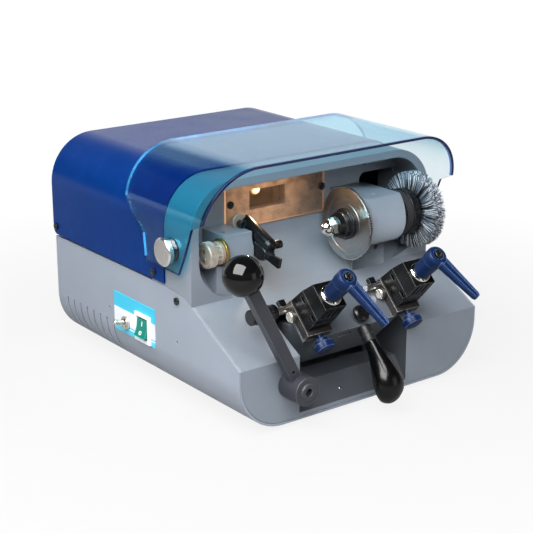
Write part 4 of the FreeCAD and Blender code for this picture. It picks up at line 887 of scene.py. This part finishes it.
# tracer: round rod with a domed end, the lug below it, a flat blade and its screws
tracer = {"place": at(-77.2, -98, 180) @ Matrix.Rotation(math.radians(111.5), 4, "X"),
          "rod": [(-25, 0), (-25, 7), (-24.4, 7.6), (20.4, 7.6), (21.2, 6.9), (24, 6.5), (25.8, 5.2), (26.8, 3.2),
                  (27, 0)],
          "lug": [(-95, 176), (-95, 163), (-100, 158.5), (-108, 156), (-116, 156.5), (-121, 160.5), (-121, 168),
                  (-112, 173)],
          "lugX": (-85.4, -72), "bladeX": (-84.2, -81.8),
          "blade": [(-119, 169.6), (-125, 166.8), (-145, 166.2), (-142.2, 155.6), (-139.6, 154.8), (-122.4, 159.2),
                    (-117, 162)]}


def plated(outline, span, width):  # a flat outline in the side view given a thickness
    draft = bmesh.new()
    rings = [[draft.verts.new((x * mm, y * mm, z * mm)) for y, z in outline] for x in span]
    skinned(draft, rings)
    return bevelled(outward(draft), width, 3)


draft = lathe(bmesh.new(), softened(tracer["rod"], 0.4), tracer["place"], 48)
dress("tracer_body", outward(draft), "satinBlack", 50)
dress("tracer_clamp", plated(tracer["lug"], tracer["lugX"], 0.0024), "satinBlack")
dress("tracer_finger", plated(tracer["blade"], tracer["bladeX"], 0.0003), "blackSteel")
screws("tracerBolts", socketHead(8.4, 7.2, 4.4), [((-70.4, -118.4, 172), (1, 0, 0)),
                                                  ((-80.5, -119.6, 166.2), (0, -0.9, -0.43))],
       "satinBlack", "tracer")

# bright round seat behind the tracer block with its cap screw
seat = [(-2.0, 0), (-2.0, 8.8), (0.2, 8.8), (0.8, 8.2), (0.8, 0)]
draft = lathe(bmesh.new(), softened(seat, 0.4), at(-86.5, -79, 190.5) @ Matrix.Rotation(math.radians(90), 4, "X"), 40)
show("tracerSeat", settled("tracerSeat", draft), "paleNickel", bodyOf["tracer_block"], slotOf["spindle_shaft"])
screws("tracerScrew", socketHead(8.6, 7.0, 4.2), [((-87.0, -79.8, 188.6), (0, -1, 0))], "satinBlack",
       bodyOf["tracer_block"])

# small bright set screws in the block, the bearing housing and the pocket's floor
pinScrew = [(-1.0, 0), (-1.0, 1.9), (0.15, 1.9), (0.35, 1.6), (0.35, 1.0, hexForm), (-0.5, 0.95, hexForm), (-0.5, 0)]
pinSpots = [((-112.5, -86.6, 185), (0, 0, 1)), ((54.5, -106.8, 201.2), (0, 0, 1)), ((68.6, -109.4, 201.2), (0, 0, 1)),
            ((-25.6, -171.4, 21.7), (0, -0.78, 0.62))]
screws("pinScrews", lathe(bmesh.new(), pinScrew, Matrix(), 24), pinSpots, "nickel", bodyOf["tracer_block"])

# white marks on the rocker's two faces
draft = bmesh.new()
marks = {"upper": (-162.95, 74.65, 0.1315), "lower": (-165.4, 65.05, 0.3576)}
for name, (x, z, lean) in marks.items():
    stood = at(x, -7.5, z) @ Matrix.Rotation(-math.asin(lean), 4, "Y").inverted() @ turnX.inverted()
    if name == "upper":
        block(draft, (-2.6, 2.6), (-0.6, 0.6), (-0.3, 0.15), stood)
    else:
        lathe(draft, [(-0.3, 1.3), (-0.3, 2.3), (0.15, 2.3), (0.15, 1.3)], stood, 32, True)
show("rockerMarks", settled("rockerMarks", outward(draft)), "markWhite", "rocker", slotOf["rocker"])
print("detailed pieces ready")

# floor, light and camera
studio = {"back": (0.6037, 0.7973, 0)}  # the white backdrop stands behind the machine
floorMesh = bpy.data.meshes.new("floor")
floorMesh.from_pydata([(-9, -9, 0), (9, -9, 0), (9, 9, 0), (-9, 9, 0)], [], [(0, 1, 2, 3)])
floor = bpy.data.objects.new("floor", floorMesh)
scene.collection.objects.link(floor)
floorPaint, tree = newTree("floorPaint")
grain = noise(tree, spotOf(tree), 40.0)
pale = blend(tree, ranged(tree, grain, 0.0, 1.0), (0.36, 0.36, 0.365, 1), (0.38, 0.38, 0.385, 1))
path = put(tree, "LightPath")
matt = put(tree, "BsdfDiffuse", {"Color": pale})
glow = put(tree, "Emission", {"Color": (1, 1, 1, 1), "Strength": 1.0})
reach = vectors(tree, "LENGTH", spotOf(tree))
rear = vectors(tree, "DOT_PRODUCT", spotOf(tree), studio["back"])
other = maths(tree, "MAXIMUM", path.outputs["Is Glossy Ray"], path.outputs["Is Transmission Ray"])
other = product(tree, other, ranged(tree, rear, 0.0, 1.0, 0.15, 0.5))
seen = maths(tree, "MAXIMUM", path.outputs["Is Camera Ray"], other)
seen = product(tree, seen, ranged(tree, reach, 0.86, 1.0, 0.3, 0.7))  # the shadow stays near the machine
mixed = put(tree, "MixShader", {0: seen, 1: matt.outputs[0], 2: glow.outputs[0]})
surface(tree, mixed)
floorMesh.materials.append(floorPaint)

world = bpy.data.worlds.new("studio")
scene.world = world
world.use_nodes = True
tree = world.node_tree
tree.nodes.clear()
way = put(tree, "TexCoord").outputs["Generated"]
height = put(tree, "SeparateXYZ", {0: way}).outputs["Z"]
band = ranged(tree, height, 1.0, 0.1, 0.40, 0.52, "SMOOTHSTEP")
rays = put(tree, "LightPath").outputs
shown = maths(tree, "MAXIMUM", rays["Is Camera Ray"], rays["Is Transmission Ray"])
behind = vectors(tree, "DOT_PRODUCT", way, studio["back"])
backdrop = ranged(tree, behind, 0.12, 1.0, 0.4, 0.7, "SMOOTHSTEP")
mirrored = product(tree, rays["Is Glossy Ray"], product(tree, band, backdrop))
ambient = product(tree, rays["Is Diffuse Ray"], product(tree, band, 0.28))
power = maths(tree, "MAXIMUM", maths(tree, "MAXIMUM", shown, mirrored), ambient)
sky = put(tree, "Background", {"Color": (1, 1, 1, 1), "Strength": power})
put(tree, "OutputWorld", {"Surface": sky.outputs[0]})

softboxes = {
    "keyLight": {"at": (-0.8, -0.42, 1.06), "size": (1.02, 1.02), "power": 34, "mirror": False},
    "windowCard": {"at": (-0.79, -0.415, 1.045), "size": (1.16, 1.12), "power": 66, "mirror": True, "matt": False},
    "frontLight": {"at": (-0.5, -1.5, 1.3), "size": (1.2, 0.8), "power": 18, "mirror": False},
    "rightLight": {"at": (0.55, -1.6, 0.36), "size": (0.7, 0.8), "power": 2, "mirror": True},
}
for name, box in softboxes.items():
    lamp = bpy.data.lights.new(name, "AREA")
    lamp.shape = "RECTANGLE"
    lamp.size, lamp.size_y = box["size"]
    lamp.energy = box["power"]
    holder = bpy.data.objects.new(name, lamp)
    holder.location = box["at"]
    holder.rotation_euler = (Vector((-0.05, -0.1, 0.12)) - Vector(box["at"])).to_track_quat("-Z", "Y").to_euler()
    holder.visible_glossy, holder.visible_diffuse = box["mirror"], box.get("matt", True)
    scene.collection.objects.link(holder)
bulb = bpy.data.lights.new("bulbLight", "AREA")
bulb.shape, bulb.size, bulb.energy, bulb.color = "DISK", 0.012, 0.08, (1.0, 0.68, 0.38)
holder = bpy.data.objects.new("bulbLight", bulb)
holder.location = (-0.044, -0.066, 0.207)
holder.rotation_euler = Vector((0, -1, -0.3)).to_track_quat("-Z", "Y").to_euler()
scene.collection.objects.link(holder)

eye = bpy.data.objects.new("eye", bpy.data.cameras.new("eye"))
scene.collection.objects.link(eye)
eye.data.lens, eye.data.sensor_width = 93.32, 36.0
eye.location = (-0.88576, -1.18054, 0.58086)
eye.rotation_mode = "QUATERNION"
eye.rotation_quaternion = Vector((0.5745, 0.7588, -0.3069)).to_track_quat("-Z", "Y")
scene.camera = eye
scene.view_settings.view_transform = "Standard"
print("stage ready")
